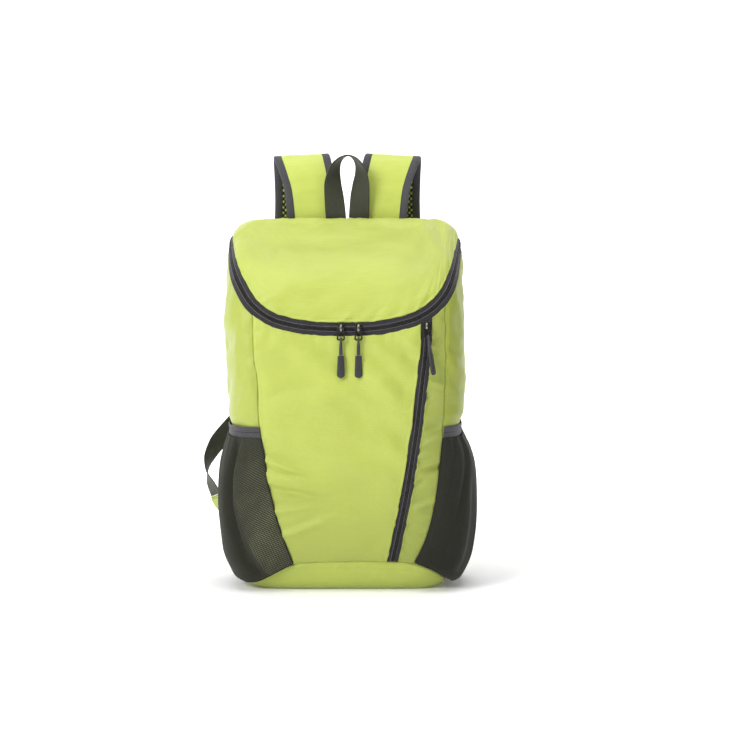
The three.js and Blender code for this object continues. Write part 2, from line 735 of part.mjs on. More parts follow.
// Side panels run from the front seam round to the back seam
const sideEdges = {
  left: {
    bottom: [...[...bottomLeft].reverse(), ...leftFoot.slice(1)],
    top: lowerZipEdge.slice(0, sideCells + 1).reverse(),
    left: leftSeamPoints,
    right: backEdges.left,
  },
  right: {
    bottom: [...bottomRight, ...rightFoot.slice(1)],
    top: lowerZipEdge.slice(-sideCells - 1),
    left: rightSeamPoints,
    right: backEdges.right,
  },
};
for (const side of ["left", "right"])
  add(`side_panel_${side}`, clothPatch(sideEdges[side], even(sideCells), even(WALL_ROWS)), "limeSide");

// Lid, from the main zip's upper edge to the top seam
const topCorner = (side) =>
  skin(
    new THREE.Vector3(side * TOP_CORNER.x * HALF_WIDTH, TOP_CORNER.y * BACK_DEPTH, TOP_CORNER.z * BAG_HEIGHT),
  );
const topSeam = (count) =>
  steps(-1, 1, count).map((s) => {
    const flat = new THREE.Vector3().lerpVectors(topCorner(-1), topCorner(1), (s + 1) / 2);
    if (Math.abs(s) === 1) return flat;
    return skin(new THREE.Vector3(flat.x, TOP_SEAM_Y * BACK_DEPTH, BAG_HEIGHT * 1.05));
  });
const lidSide = (zipEnd, side) =>
  even(LID_EDGE_ROWS).map((t) => skin(zipEnd.clone().lerp(topCorner(side), t)));
const lidSides = {
  left: lidSide(upperZipEdge[0], -1),
  right: lidSide(upperZipEdge[upperZipEdge.length - 1], 1),
};
const lidEdges = { bottom: upperZipEdge, top: topSeam(upperZipEdge.length - 1), ...lidSides };
add("lid", clothPatch(lidEdges, even(upperZipEdge.length - 1), even(LID_ROWS)), "lime");

// Bottom and back
const backFootEdge = (count) =>
  steps(-1, 1, count).map((t) => {
    const x = t * BACK_FOOT.x * HALF_WIDTH;
    return skin(new THREE.Vector3(x, BACK_FOOT.y * BACK_DEPTH, BACK_FOOT.z * BAG_HEIGHT));
  });
const bottomEdges = {
  bottom: bottomFrontEdge,
  top: backFootEdge(bottomFrontEdge.length - 1),
  left: leftFoot,
  right: rightFoot,
};
const bottomColumns = even(bottomFrontEdge.length - 1);
add("bottom_panel", clothPatch(bottomEdges, bottomColumns, even(FOOT_STOPS.length - 1)), "lime");
const backSide = (edge, lidEdge) => [...edge, ...lidEdge];
const backEdgesFull = {
  bottom: backFootEdge(upperZipEdge.length - 1),
  top: topSeam(upperZipEdge.length - 1),
  left: backSide(backEdges.left, lidSides.left),
  right: backSide(backEdges.right, lidSides.right),
};
add("back_panel", clothPatch(backEdgesFull, BACK_STOPS, even(backEdgesFull.left.length - 1)), "lime");

// Zips: two tapes with the coil between them
function zipParts(prefix, edgeAt, width) {
  const half = width / 2;
  const strip = (from, to) => [edgeAt(from), edgeAt(to)];
  add(`${prefix}_tape_lower`, skinWall(strip(-half, -coilHalf), TAPE_THICKNESS, -TAPE_RECESS), "zipTape");
  add(`${prefix}_tape_upper`, skinWall(strip(coilHalf, half), TAPE_THICKNESS, -TAPE_RECESS), "zipTape");
  add(`${prefix}_coil`, skinWall(strip(-coilHalf, coilHalf), COIL_THICKNESS, COIL_PROUD), "zipCoil");
}
zipParts("main_zip", zipEdge, MAIN_ZIP_WIDTH);
const frontZipAt = (offset) =>
  zipInnerPoints.map((p, j) => p.clone().lerp(zipOuterPoints[j], (offset + zipHalf) / FRONT_ZIP_WIDTH));
zipParts("front_zip", frontZipAt, FRONT_ZIP_WIDTH);

// Mesh pockets: a bulging skin over each side panel, held in by an elastic band at its mouth
const POCKET_FOLDS = [
  { side: "left", across: 0.4, width: 0.035, depth: 0.55 },
  { side: "left", across: 0.58, width: 0.05, depth: 0.2 },
  { side: "right", across: 0.42, width: 0.05, depth: 0.18 },
  { side: "right", across: 0.6, width: 0.05, depth: 0.22 },
];
const POCKET_SWELL = [
  { up: 0.0, left: 0.0, right: 0.0 },
  { up: 0.012, left: 0.33, right: 0.4 },
  { up: 0.045, left: 0.68, right: 0.76 },
  { up: 0.12, left: 0.68, right: 0.86 },
  { up: 0.3, left: 0.76, right: 0.94 },
  { up: 0.46, left: 0.96, right: 1.0 },
  { up: 0.62, left: 1.0, right: 1.0 },
  { up: 0.78, left: 0.98, right: 1.0 },
  { up: 0.92, left: 0.68, right: 0.8 },
  { up: 1.0, left: 0.34, right: 0.28 },
];
function pocketShareAt(edges, s, height) {
  let [low, high] = [0, 1];
  for (let k = 0; k < 24; k++) {
    const middle = (low + high) / 2;
    if (patchPoint(edges, s, middle).z < height) low = middle;
    else high = middle;
  }
  return low;
}
function pocketPoint(side, s, up, bulge, lift) {
  const edges = sideEdges[side];
  const p = patchPoint(edges, s, up * pocketShareAt(edges, s, POCKET_TOP - BAND_HEIGHT));
  const round = Math.sin(Math.PI * clamp(s, 0, 1)) ** 0.6;
  let swell = bulge * smooth(POCKET_SWELL, "up", side, up) * round;
  for (const fold of POCKET_FOLDS)
    if (fold.side === side) {
      const off = (s - fold.across) / fold.width;
      swell -= fold.depth * bulge * Math.exp(-off * off) * Math.sin(Math.PI * up) * round;
    }
  const out = normalAt(p);
  const level = out.clone().setZ(out.z * POCKET_SAG_SHARE).normalize();
  return p.addScaledVector(out, lift).addScaledVector(level, Math.max(0, swell));
}
function pocket(side, bulge) {
  const lift = SEAT_GAP + POCKET_WALL;
  const columns = steps(0.012, 0.985, POCKET_COLUMNS);
  const rows = even(POCKET_ROWS).map((t) => lerp(0.008, 1, t ** 1.5));
  const wall = (raise) => rows.map((up) => columns.map((s) => pocketPoint(side, s, up, bulge, raise)));
  add(`pocket_mesh_${side}`, wallBetween(wall(lift), wall(SEAT_GAP)), "pocketMesh");

  // The band stands off the bag in its middle, which leaves the pocket's mouth open
  const bandAt = (height, raise) =>
    columns.map((s) => {
      const edges = sideEdges[side];
      const p = patchPoint(edges, s, pocketShareAt(edges, s, height));
      const open = (POCKET_MOUTH - SEAT_GAP) * Math.sin(Math.PI * s) ** 0.6;
      return p.addScaledVector(normalAt(p), open + SEAT_GAP + raise);
    });
  const heights = [POCKET_TOP - BAND_HEIGHT + SEAM_GAP, POCKET_TOP];
  const bandWall = (raise) => heights.map((height) => bandAt(height, raise));
  add(`pocket_band_${side}`, wallBetween(bandWall(BAND_THICKNESS), bandWall(0)), "binding");
}
pocket("left", LEFT_POCKET_BULGE);
pocket("right", RIGHT_POCKET_BULGE);

// Height of the foot of a strap or of the loop, just clear of the skin below it
const rootZ = (x, y, width, thickness) =>
  SEAT_GAP +
  Math.max(
    ...[-1, 0, 1].map((side) => topHeight(x + (side * width) / 2, y - thickness / 2)),
  );
const strapRootZ = rootZ(STRAP_ROOT_X, STRAP_ROOT_Y, STRAP_WIDTH, BINDING_THICKNESS);
// Shoulder straps, from the top seam over the bend and down to the buckle: x as a share of the half width,
// y of the back depth, z of the height; width and thickness as shares of their own; lean in degrees
const STRAP_PATH = [
  { x: 0.317, y: 0.947, z: 1.0583, width: 0.98, thickness: 0.9, lean: 0 },
  { x: 0.356, y: 1.013, z: 1.1099, width: 1.02, thickness: 1, lean: -1 },
  { x: 0.387, y: 1.118, z: 1.1413, width: 1.05, thickness: 1, lean: -3 },
  { x: 0.401, y: 1.237, z: 1.1491, width: 1.04, thickness: 1, lean: -3 },
  { x: 0.408, y: 1.355, z: 1.1368, width: 1.02, thickness: 1, lean: -2 },
  { x: 0.408, y: 1.434, z: 1.0942, width: 1, thickness: 1, lean: 0 },
  { x: 0.408, y: 1.461, z: 1.0202, width: 0.98, thickness: 1, lean: 0 },
  { x: 0.423, y: 1.447, z: 0.9305, width: 0.97, thickness: 1, lean: 0 },
  { x: 0.465, y: 1.408, z: 0.8296, width: 0.96, thickness: 1, lean: 6 },
  { x: 0.528, y: 1.355, z: 0.7287, width: 0.94, thickness: 1, lean: 12 },
  { x: 0.62, y: 1.289, z: 0.6323, width: 0.88, thickness: 1, lean: 17 },
  { x: 0.711, y: 1.237, z: 0.5516, width: 0.8, thickness: 0.95, lean: 18 },
  { x: 0.761, y: 1.211, z: 0.5067, width: 0.74, thickness: 0.85, lean: 18 },
];
const STRAP_STATIONS = 26;
const placed = (r) => ({ ...r, x: r.x * HALF_WIDTH, y: r.y * BACK_DEPTH, z: r.z * BAG_HEIGHT });
const strapRows = (side) => {
  const root = { x: STRAP_ROOT_X, y: STRAP_ROOT_Y, z: strapRootZ, width: 0.97, thickness: 0.5, lean: 0 };
  const above = { ...root, z: strapRootZ + STRAP_THICKNESS, thickness: 0.6 };
  return [root, above, ...STRAP_PATH.map(placed)].map((r) => ({
    ...r,
    x: side * r.x + STRAP_SHIFT,
    width: r.width * STRAP_WIDTH,
    thickness: r.thickness * STRAP_THICKNESS,
    lean: side * r.lean,
  }));
};
function strap(side, name) {
  const rows = strapRows(side);
  add(`strap_${name}`, ribbon(rows, STRAP_STATIONS, paddedSection), "lime");
  add(`strap_binding_${name}_outer`, ribbon(rows, STRAP_STATIONS, bindingSection(side)), "binding");
  add(`strap_binding_${name}_inner`, ribbon(rows, STRAP_STATIONS, bindingSection(-side)), "binding");
}
strap(-1, "left");
strap(1, "right");

// Carrying loop: the webbing turns edge-on as it passes over the top
const loopRootZ = rootZ(0, LOOP_ROOT_Y, 2 * WEBBING_WIDTH, LOOP_THICKNESS);
// Loop: x as a share of its spread, height above its foot as a share of its rise, turn in degrees
const LOOP_PATH = [
  { x: -0.342, up: 0, turn: 0 },
  { x: -0.35, up: 0.064, turn: 4 },
  { x: -0.403, up: 0.346, turn: 20 },
  { x: -0.444, up: 0.551, turn: 36 },
  { x: -0.406, up: 0.744, turn: 56 },
  { x: -0.306, up: 0.872, turn: 69 },
  { x: -0.139, up: 0.955, turn: 80 },
  { x: 0.069, up: 0.987, turn: 90 },
  { x: 0.278, up: 0.949, turn: 100 },
  { x: 0.444, up: 0.846, turn: 111 },
  { x: 0.511, up: 0.705, turn: 125 },
  { x: 0.506, up: 0.538, turn: 145 },
  { x: 0.472, up: 0.346, turn: 160 },
  { x: 0.444, up: 0.064, turn: 176 },
  { x: 0.436, up: 0, turn: 180 },
];
const LOOP_STATIONS = 24;
const webbingRow = (r) => ({ width: WEBBING_WIDTH, thickness: WEBBING_THICKNESS, ...r });
const loopRow = (r) => ({
  x: r.x * LOOP_SPREAD,
  y: LOOP_ROOT_Y,
  z: loopRootZ + r.up * LOOP_RISE,
  width: WEBBING_WIDTH,
  thickness: LOOP_THICKNESS,
  turn: r.turn,
});
add("haul_loop", ribbon(LOOP_PATH.map(loopRow), LOOP_STATIONS, flatSection), "webbing");

// Ladder buckle below each strap, its webbing and the tab that holds the webbing to the bag
// Webbing below the buckles, placed by the same shares as the straps; lean and turn in degrees
const LEFT_WEBBING_ROUTE = [
  { x: -0.923, y: 1.158, z: 0.4215, lean: -38, turn: 12 },
  { x: -1.028, y: 1.132, z: 0.3924, lean: -45, turn: 26 },
  { x: -1.127, y: 1.105, z: 0.3565, lean: -42, turn: 34 },
  { x: -1.197, y: 1.079, z: 0.3161, lean: -24, turn: 58 },
  { x: -1.218, y: 1.053, z: 0.2803, lean: 0, turn: 88 },
  { x: -1.19, y: 1.039, z: 0.2444, lean: 20, turn: 118 },
  { x: -1.141, y: 1.026, z: 0.2108, lean: 30, turn: 128 },
];
const RIGHT_WEBBING_ROUTE = [
  { x: 0.852, y: 1.171, z: 0.3812, lean: 14, turn: 0 },
  { x: 0.908, y: 1.158, z: 0.3251, lean: 16, turn: 0 },
  { x: 0.965, y: 1.132, z: 0.2646, lean: 14, turn: 0 },
  { x: 0.993, y: 1.105, z: 0.2197, lean: 0, turn: 0 },
];
const TAB_FOOT = { x: 0.86, y: 1.0, z: 0.125 };
const BAR_WRAP = (BUCKLE_BAR * Math.SQRT2 + WEBBING_THICKNESS) / 2 + SEAT_GAP;

function buckleFrame(side) {
  const [aboveRow, endRow] = strapRows(side).slice(-2);
  const end = new THREE.Vector3(endRow.x, endRow.y, endRow.z);
  const up = new THREE.Vector3(aboveRow.x, aboveRow.y, aboveRow.z).sub(end).normalize();
  const lean = endRow.lean * TURN;
  const across = new THREE.Vector3(Math.cos(lean), 0, Math.sin(lean));
  across.addScaledVector(up, -across.dot(up)).normalize();
  const out = new THREE.Vector3().crossVectors(across, up).normalize();
  if (out.y < 0) out.negate();
  const centre = end.clone().addScaledVector(up, -BUCKLE_DROP);
  const place = (u, n) => centre.clone().addScaledVector(up, u).addScaledVector(out, n);
  return { up, across, out, centre, place, lean: endRow.lean };
}

function buckle(side, name, route) {
  const frame = buckleFrame(side);
  const row = (u, n) => {
    const p = frame.place(u, n);
    return webbingRow({ x: p.x, y: p.y, z: p.z, lean: frame.lean, turn: 0 });
  };
  const wrap = (u, from, to) =>
    steps(from, to, 4).map((a) => row(u + BAR_WRAP * Math.cos(a * TURN), BAR_WRAP * Math.sin(a * TURN)));

  const outline = new THREE.Shape();
  const halfHeight = BUCKLE_PITCH + BUCKLE_BAR / 2;
  const [w, h, c] = [BUCKLE_WIDTH / 2, halfHeight, 3];
  outline.moveTo(-w + c, -h).lineTo(w - c, -h).lineTo(w, -h + c).lineTo(w, h - c);
  outline.lineTo(w - c, h).lineTo(-w + c, h).lineTo(-w, h - c).lineTo(-w, -h + c).closePath();
  for (const level of [-BUCKLE_PITCH / 2, BUCKLE_PITCH / 2]) {
    const [sw, sh] = [BUCKLE_SLOT / 2, (BUCKLE_PITCH - BUCKLE_BAR) / 2];
    const slot = new THREE.Path();
    slot.moveTo(-sw, level - sh).lineTo(sw, level - sh);
    slot.lineTo(sw, level + sh).lineTo(-sw, level + sh).closePath();
    outline.holes.push(slot);
  }
  const plate = new THREE.ExtrudeGeometry(outline, { depth: BUCKLE_BAR, bevelEnabled: false });
  plate.translate(0, 0, -BUCKLE_BAR / 2);
  const normal = new THREE.Vector3().crossVectors(frame.across, frame.up);
  const pose = new THREE.Matrix4().makeBasis(frame.across, frame.up, normal).setPosition(frame.centre);
  add(`ladder_buckle_${name}`, plate.applyMatrix4(pose), "plastic");

  const seat = BUCKLE_DROP - SEAT_GAP;
  const plyGap = WEBBING_THICKNESS / 2 + SEAT_GAP;
  const hanger = [
    row(seat, plyGap),
    row(BUCKLE_PITCH + 3, BAR_WRAP),
    ...wrap(BUCKLE_PITCH, 90, 270),
    row(BUCKLE_PITCH + 3, -BAR_WRAP),
    row(seat, -plyGap),
  ];
  add(`strap_hanger_${name}`, ribbon(hanger, 16, flatSection), "webbing");

  const folded = [
    row(-WEBBING_TAIL, BAR_WRAP + 2),
    row(-2 * BUCKLE_PITCH, BAR_WRAP + 0.6),
    row(-BUCKLE_PITCH, BAR_WRAP),
    ...wrap(0, 90, -90),
    row(-BUCKLE_PITCH, -BAR_WRAP),
    row(-BUCKLE_PITCH * 1.6, -BAR_WRAP),
  ];
  const webbing = [...folded, ...route.map(placed).map(webbingRow)];
  add(`adjust_webbing_${name}`, ribbon(webbing, 2 * webbing.length, flatSection), "webbing");

  // The tab starts at the webbing's end and is sewn to the bag's back corner
  const [before, last] = webbing.slice(-2);
  const end = new THREE.Vector3(last.x, last.y, last.z);
  const way = end.clone().sub(new THREE.Vector3(before.x, before.y, before.z)).normalize();
  const start = end.clone().addScaledVector(way, SEAT_GAP);
  const foot = skin(
    new THREE.Vector3(side * TAB_FOOT.x * HALF_WIDTH, TAB_FOOT.y * BACK_DEPTH, TAB_FOOT.z * BAG_HEIGHT),
  );
  const off = normalAt(foot);
  const lastWay = facing(last.lean, last.turn);
  const footWay = new THREE.Vector3(0, 0, -1).addScaledVector(off, off.z).normalize();
  if (side > 0) footWay.negate();
  if (footWay.dot(lastWay) < 0 && side < 0) footWay.negate();
  const seatPoint = foot.clone().addScaledVector(off, SEAT_GAP + 0.2);
  const approach = seatPoint.clone().addScaledVector(off, TAB_STANDOFF);
  const below = start.clone().addScaledVector(way, TAB_STANDOFF * 0.8);
  const rows = [
    { ...start, width: WEBBING_WIDTH * 1.08, across: lastWay },
    { ...below, width: WEBBING_WIDTH * 1.2, across: lastWay },
    { ...approach, width: TAB_WIDTH * 0.9, across: lastWay.clone().lerp(footWay, 0.7).normalize() },
    { ...seatPoint, width: TAB_WIDTH, across: footWay },
  ];
  return rows.map((r) => ({ ...r, thickness: TAB_THICKNESS }));
}
const tabRows = {
  left: buckle(-1, "left", LEFT_WEBBING_ROUTE),
  right: buckle(1, "right", RIGHT_WEBBING_ROUTE),
};
for (const name of ["left", "right"])
  add(`anchor_tab_${name}`, ribbon(tabRows[name], 8, flatSection), "lime");

// Zip sliders and their pulls: each is made hanging from the origin and then set on its zip
function trapezium(shape, topWidth, bottomWidth, top, bottom, round) {
  const [a, b] = [topWidth / 2, bottomWidth / 2];
  shape.moveTo(-a, top).lineTo(-b, bottom + round);
  shape.quadraticCurveTo(-b, bottom, -b + round, bottom);
  shape.lineTo(b - round, bottom);
  shape.quadraticCurveTo(b, bottom, b, bottom + round).lineTo(a, top).closePath();
  return shape;
}
function flatPlate(shape, thickness) {
  const plate = new THREE.ExtrudeGeometry(shape, { depth: thickness, bevelEnabled: false, curveSegments: 4 });
  return plate.translate(0, 0, -thickness / 2).rotateX(Math.PI / 2);
}
const LUG_TURN = new THREE.Matrix4().makeBasis(
  new THREE.Vector3(0, 0, 1),
  new THREE.Vector3(0, -1, 0),
  new THREE.Vector3(1, 0, 0),
);
function sliderGeometry() {
  const end = SLIDER_LENGTH / 2;
  const base = trapezium(new THREE.Shape(), SLIDER_WIDTH * 0.8, SLIDER_WIDTH, end, -end, 2);
  const plate = flatPlate(base, SLIDER_THICKNESS).translate(0, PIN_HEIGHT + SLIDER_THICKNESS / 2, 0);
  const lug = new THREE.Shape();
  lug.absarc(0, 0, LUG_RADIUS, 0, Math.PI, false);
  const root = -PIN_HEIGHT - LUG_ROOT_DEPTH;
  lug.lineTo(-LUG_RADIUS, root).lineTo(LUG_RADIUS, root).closePath();
  lug.holes.push(new THREE.Path().absarc(0, 0, LUG_HOLE, 0, 2 * Math.PI, true));
  const cut = { depth: LUG_THICKNESS, bevelEnabled: false, curveSegments: 6 };
  const cheek = new THREE.ExtrudeGeometry(lug, cut);
  cheek.translate(0, 0, -LUG_THICKNESS / 2).applyMatrix4(LUG_TURN);
  return joined([plate, cheek]);
}
function pullerGeometry() {
  const top = PULLER_BAR / 2;
  const foot = top - PULLER_LENGTH;
  const shape = trapezium(new THREE.Shape(), PULLER_TOP_WIDTH, PULLER_BOTTOM_WIDTH, top, foot, 2);
  const opening = trapezium(
    new THREE.Path(),
    PULLER_TOP_WIDTH - 2 * PULLER_BAR,
    PULLER_BOTTOM_WIDTH - 2 * PULLER_BAR,
    -PULLER_BAR / 2,
    foot + PULLER_BAR,
    1,
  );
  shape.holes.push(opening);
  return flatPlate(shape, PULLER_BAR);
}
const pullerFoot = PULLER_BAR / 2 - PULLER_LENGTH;
const cordEnd = pullerFoot - CORD_DROP;
function cordGeometry() {
  const loop = (PULLER_BAR + CORD_DIAMETER) / 2 + SEAT_GAP;
  const half = CORD_DIAMETER / 2 + 0.05;
  const barZ = pullerFoot + PULLER_BAR / 2;
  const points = [
    [-half, 0, cordEnd],
    [-half, -0.3, cordEnd + CORD_ENTRY_HEIGHT],
    [-0.5, -loop * 0.8, barZ - CORD_SPREAD_HEIGHT],
    [0, -loop, barZ - 2],
    [0, -loop * 0.75, barZ + loop * 0.7],
    [0, 0, barZ + loop],
    [0, loop * 0.75, barZ + loop * 0.7],
    [0, loop, barZ - 2],
    [0.5, loop * 0.8, barZ - CORD_SPREAD_HEIGHT],
    [half, 0.3, cordEnd + CORD_ENTRY_HEIGHT],
    [half, 0, cordEnd],
  ].map((p) => new THREE.Vector3(...p));
  const curve = new THREE.CatmullRomCurve3(points);
  const [stations, sides] = [20, 6];
  const rings = even(stations).map((t) => {
    const centre = curve.getPoint(t);
    const tangent = curve.getTangent(t);
    const first = new THREE.Vector3(1, 0, 0).addScaledVector(tangent, -tangent.x).normalize();
    const second = new THREE.Vector3().crossVectors(tangent, first);
    return steps(0, 2 * Math.PI, sides)
      .slice(0, sides)
      .map((a) =>
        centre
          .clone()
          .addScaledVector(first, (Math.cos(a) * CORD_DIAMETER) / 2)
          .addScaledVector(second, (Math.sin(a) * CORD_DIAMETER) / 2),
      );
  });
  return tubeOf(rings);
}
function gripGeometry() {
  const top = cordEnd - SEAT_GAP;
  const shape = trapezium(new THREE.Shape(), GRIP_TOP_WIDTH, GRIP_BOTTOM_WIDTH, top, top - GRIP_LENGTH, 4);
  return flatPlate(shape, GRIP_THICKNESS);
}

const PULL_STOPS = 12;
const MOST_LEAN = 60;
const LEAN_STEP = 0.25;
const PULLS = [
  { name: "left", x: -0.0296, zip: "main", sway: 0, grip: 0 },
  { name: "right", x: 0.1141, zip: "main", sway: 0, grip: 4 },
  { name: "front", zip: "front", sway: 8, grip: 60 },
];
// A pull hangs by its slider's lug, turned out of the upright by its lean and to one side by its sway
const pullTurn = (pull, lean) => new THREE.Euler(-lean * TURN, -pull.sway * TURN, 0);

// The smallest lean, in degrees, at which a pull hangs clear of the bag behind it
function pullLean(pull, lug) {
  const turn = pull.grip * TURN;
  const grip = (GRIP_THICKNESS * Math.cos(turn) + GRIP_BOTTOM_WIDTH * Math.sin(turn)) / 2;
  const isClear = (lean) =>
    even(PULL_STOPS).every((share) => {
      const height = lerp(pullerFoot, cordEnd - GRIP_LENGTH, share);
      const spot = new THREE.Vector3(0, grip + PULL_CLEARANCE, height);
      spot.applyEuler(pullTurn(pull, lean)).add(lug);
      return fullness(spot.x, spot.y, spot.z) > 1;
    });
  let lean = 0;
  while (lean < MOST_LEAN && !isClear(lean)) lean += LEAN_STEP;
  return lean;
}
for (const pull of PULLS) {
  const seat =
    pull.zip === "main"
      ? mainZip(zipShareAt(pull.x * HALF_WIDTH, 0), 0)
      : frontZipInner.at(1).lerp(frontZipOuter.at(1), 0.5).add(new THREE.Vector3(0, 0, -FRONT_SLIDER_DROP));
  const foot = pull.zip === "main" ? seat : onFront(seat.x, seat.z);
  const out = normalAt(foot);
  const tilt = Math.atan2(out.z, -out.y);
  const height = COIL_PROUD + SEAT_GAP + SLIDER_THICKNESS + PIN_HEIGHT;
  const slider = new THREE.Group();
  const away = new THREE.Vector3(0, -Math.cos(tilt), Math.sin(tilt));
  slider.position.copy(foot).addScaledVector(away, height);
  slider.rotation.set(-tilt, 0, 0);
  add(`zip_slider_${pull.name}`, sliderGeometry(), "gunmetal", slider);
  backpack.add(slider);

  const hanging = new THREE.Group();
  hanging.position.copy(slider.position);
  hanging.rotation.copy(pullTurn(pull, pullLean(pull, slider.position)));
  add(`zip_puller_${pull.name}`, pullerGeometry(), "gunmetal", hanging);
  add(`pull_cord_${pull.name}`, cordGeometry(), "rubber", hanging);
  add(`pull_grip_${pull.name}`, gripGeometry().rotateZ(pull.grip * TURN), "rubber", hanging);
  backpack.add(hanging);
}

export default backpack;
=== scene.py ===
"""A light packable backpack: its looks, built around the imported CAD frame.

The bag's skin, seams, straps and pockets follow the same shares of the same named sizes as the solids.
Working lengths are millimetres; meshes are written in metres.
"""

import math

import bmesh
import bpy
import numpy as np
from bpy.props import FloatProperty, FloatVectorProperty, PointerProperty
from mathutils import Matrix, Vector


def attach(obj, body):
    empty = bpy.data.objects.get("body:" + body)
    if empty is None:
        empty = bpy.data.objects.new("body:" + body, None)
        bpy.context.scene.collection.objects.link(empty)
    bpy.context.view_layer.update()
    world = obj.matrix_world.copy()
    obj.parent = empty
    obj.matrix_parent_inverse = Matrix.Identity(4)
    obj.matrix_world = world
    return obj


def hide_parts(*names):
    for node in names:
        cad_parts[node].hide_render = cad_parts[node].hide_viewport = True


bl_info = {
    "name": "Packable Backpack",
    "version": (1, 0, 0),
    "blender": (4, 5, 0),
    "location": "View3D > Sidebar > Backpack",
    "description": "Builds the cloth, zips, straps and pockets of a packable backpack",
    "category": "Add Mesh",
}

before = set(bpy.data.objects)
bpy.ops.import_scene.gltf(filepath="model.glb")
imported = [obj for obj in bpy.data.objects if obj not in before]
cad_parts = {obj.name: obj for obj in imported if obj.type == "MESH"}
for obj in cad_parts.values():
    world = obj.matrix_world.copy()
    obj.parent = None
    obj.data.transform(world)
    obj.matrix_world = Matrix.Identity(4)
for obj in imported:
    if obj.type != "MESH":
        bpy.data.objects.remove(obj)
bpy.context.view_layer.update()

MM = 0.001
TURN = math.pi / 180

# Sizes of the bag, as in the solids
BAG_HEIGHT = 446
BAG_WIDTH = 284
FRONT_DEPTH = 80
BACK_DEPTH = 76
CLOTH_THICKNESS = 1.6
SEAT_GAP = 0.3
MIDDLE_HEIGHT = 205
BASE_SAG_DEPTH = 9
TOP_RISE = 18
LID_SLOPE_START = 356
LID_SLOPE_END = 74
SIDE_POWER = 8
FRONT_POWER = 3.2
BACK_POWER = 8
TOP_POWER = 12
BASE_POWER = 8
LID_POWER = 7
HALF_WIDTH = BAG_WIDTH / 2
HALF_DEPTH = (FRONT_DEPTH + BACK_DEPTH) / 2

MAIN_ZIP_WIDTH = 16.6
FRONT_ZIP_WIDTH = 13.2
COIL_WIDTH = 5
COIL_PROUD = 1.2
TAPE_RECESS = 0.3

POCKET_TOP = 196
BAND_HEIGHT = 13
POCKET_WALL = 1.2
BAND_THICKNESS = 1.6
POCKET_BULGE = {"left": 13, "right": 16}
POCKET_SAG_SHARE = 0.25

STRAP_WIDTH = 66
STRAP_THICKNESS = 5
STRAP_ROOT_X = 0.291 * HALF_WIDTH
STRAP_ROOT_Y = 0.895 * BACK_DEPTH
STRAP_SHIFT = 1.2
BINDING_WIDTH = 10
BINDING_THICKNESS = 4
WEBBING_WIDTH = 25
WEBBING_THICKNESS = 1.4
WEBBING_TAIL = 62
LOOP_THICKNESS = 1.8
LOOP_ROOT_Y = 0.816 * BACK_DEPTH
LOOP_RISE = 78
LOOP_SPREAD = 36
TAB_THICKNESS = 2
TAB_WIDTH = 44
TAB_STANDOFF = 9
BUCKLE_WIDTH = 35
BUCKLE_BAR = 3.4
BUCKLE_PITCH = 11
BUCKLE_SLOT = 26.6
BUCKLE_DROP = 24

SLIDER_LENGTH = 12
SLIDER_WIDTH = 9
SLIDER_THICKNESS = 2
LUG_RADIUS = 2.6
PIN_HEIGHT = 3.4
PULLER_LENGTH = 15
PULLER_TOP_WIDTH = 7
PULLER_BOTTOM_WIDTH = 10
PULLER_BAR = 1.5
CORD_DIAMETER = 1.7
CORD_DROP = 17
CORD_SPREAD_HEIGHT = 6
CORD_ENTRY_HEIGHT = 5
GRIP_LENGTH = 26
GRIP_TOP_WIDTH = 7.3
GRIP_BOTTOM_WIDTH = 9.4
GRIP_THICKNESS = 4
PULL_CLEARANCE = 2.4
FRONT_SLIDER_DROP = 7

# Tables: places as shares of the half width (x), depth (y) and height (z), as in the solids
BODY_SECTIONS = {
    "height": (0.0, 0.04, 0.1, 0.25, 0.42, 0.48, 0.55, 0.7, 0.85, 1.0),
    "left": (0.9, 0.93, 0.975, 0.985, 0.96, 0.985, 1.0, 1.012, 1.03, 1.05),
    "right": (0.93, 0.95, 0.985, 0.99, 0.96, 0.985, 1.0, 0.995, 1.005, 1.05),
    "front": (0.93, 0.95, 0.97, 1.0, 1.0, 0.99, 0.98, 0.94, 0.9, 0.88),
    "back": (0.95, 0.96, 0.98, 1.0, 1.0, 1.0, 1.0, 0.99, 0.97, 0.96),
}

MAIN_ZIP_LINE = {
    "x": (
        -0.945, -0.965, -0.955, -0.92, -0.852, -0.76, -0.613, -0.447, -0.24, 0.0, 0.24, 0.454,
        0.606, 0.732, 0.831, 0.894, 0.923, 0.945, 0.955, 0.945,
    ),
    "y": (
        0.85, 0.51, 0.24, -0.23, -0.59, -0.77, -0.87, -0.9, -0.91, -0.91, -0.91, -0.89, -0.86,
        -0.78, -0.65, -0.35, 0.06, 0.38, 0.64, 0.85,
    ),
    "z": (
        0.93, 0.905, 0.884, 0.845, 0.799, 0.756, 0.722, 0.706, 0.697, 0.695, 0.697, 0.709, 0.724,
        0.749, 0.785, 0.83, 0.866, 0.89, 0.91, 0.93,
    ),
}

LEFT_FRONT_SEAM = {
    "z": (0.075, 0.165, 0.23, 0.295, 0.36, 0.44, 0.56, 0.62, 0.74),
    "x": (-0.425, -0.529, -0.585, -0.632, -0.656, -0.699, -0.714, -0.743, -0.757),
}

RIGHT_FRONT_SEAM = {
    "z": (0.075, 0.137, 0.19, 0.245, 0.31, 0.36, 0.445, 0.56, 0.63, 0.74),
    "x": (0.572, 0.664, 0.713, 0.748, 0.776, 0.79, 0.813, 0.823, 0.829, 0.825),
}

FRONT_ZIP_LINE = {
    "z": (0.08, 0.14, 0.21, 0.3, 0.43, 0.51, 0.56, 0.6, 0.65, 0.72),
    "x": (0.392, 0.432, 0.478, 0.529, 0.59, 0.62, 0.637, 0.653, 0.668, 0.672),
}

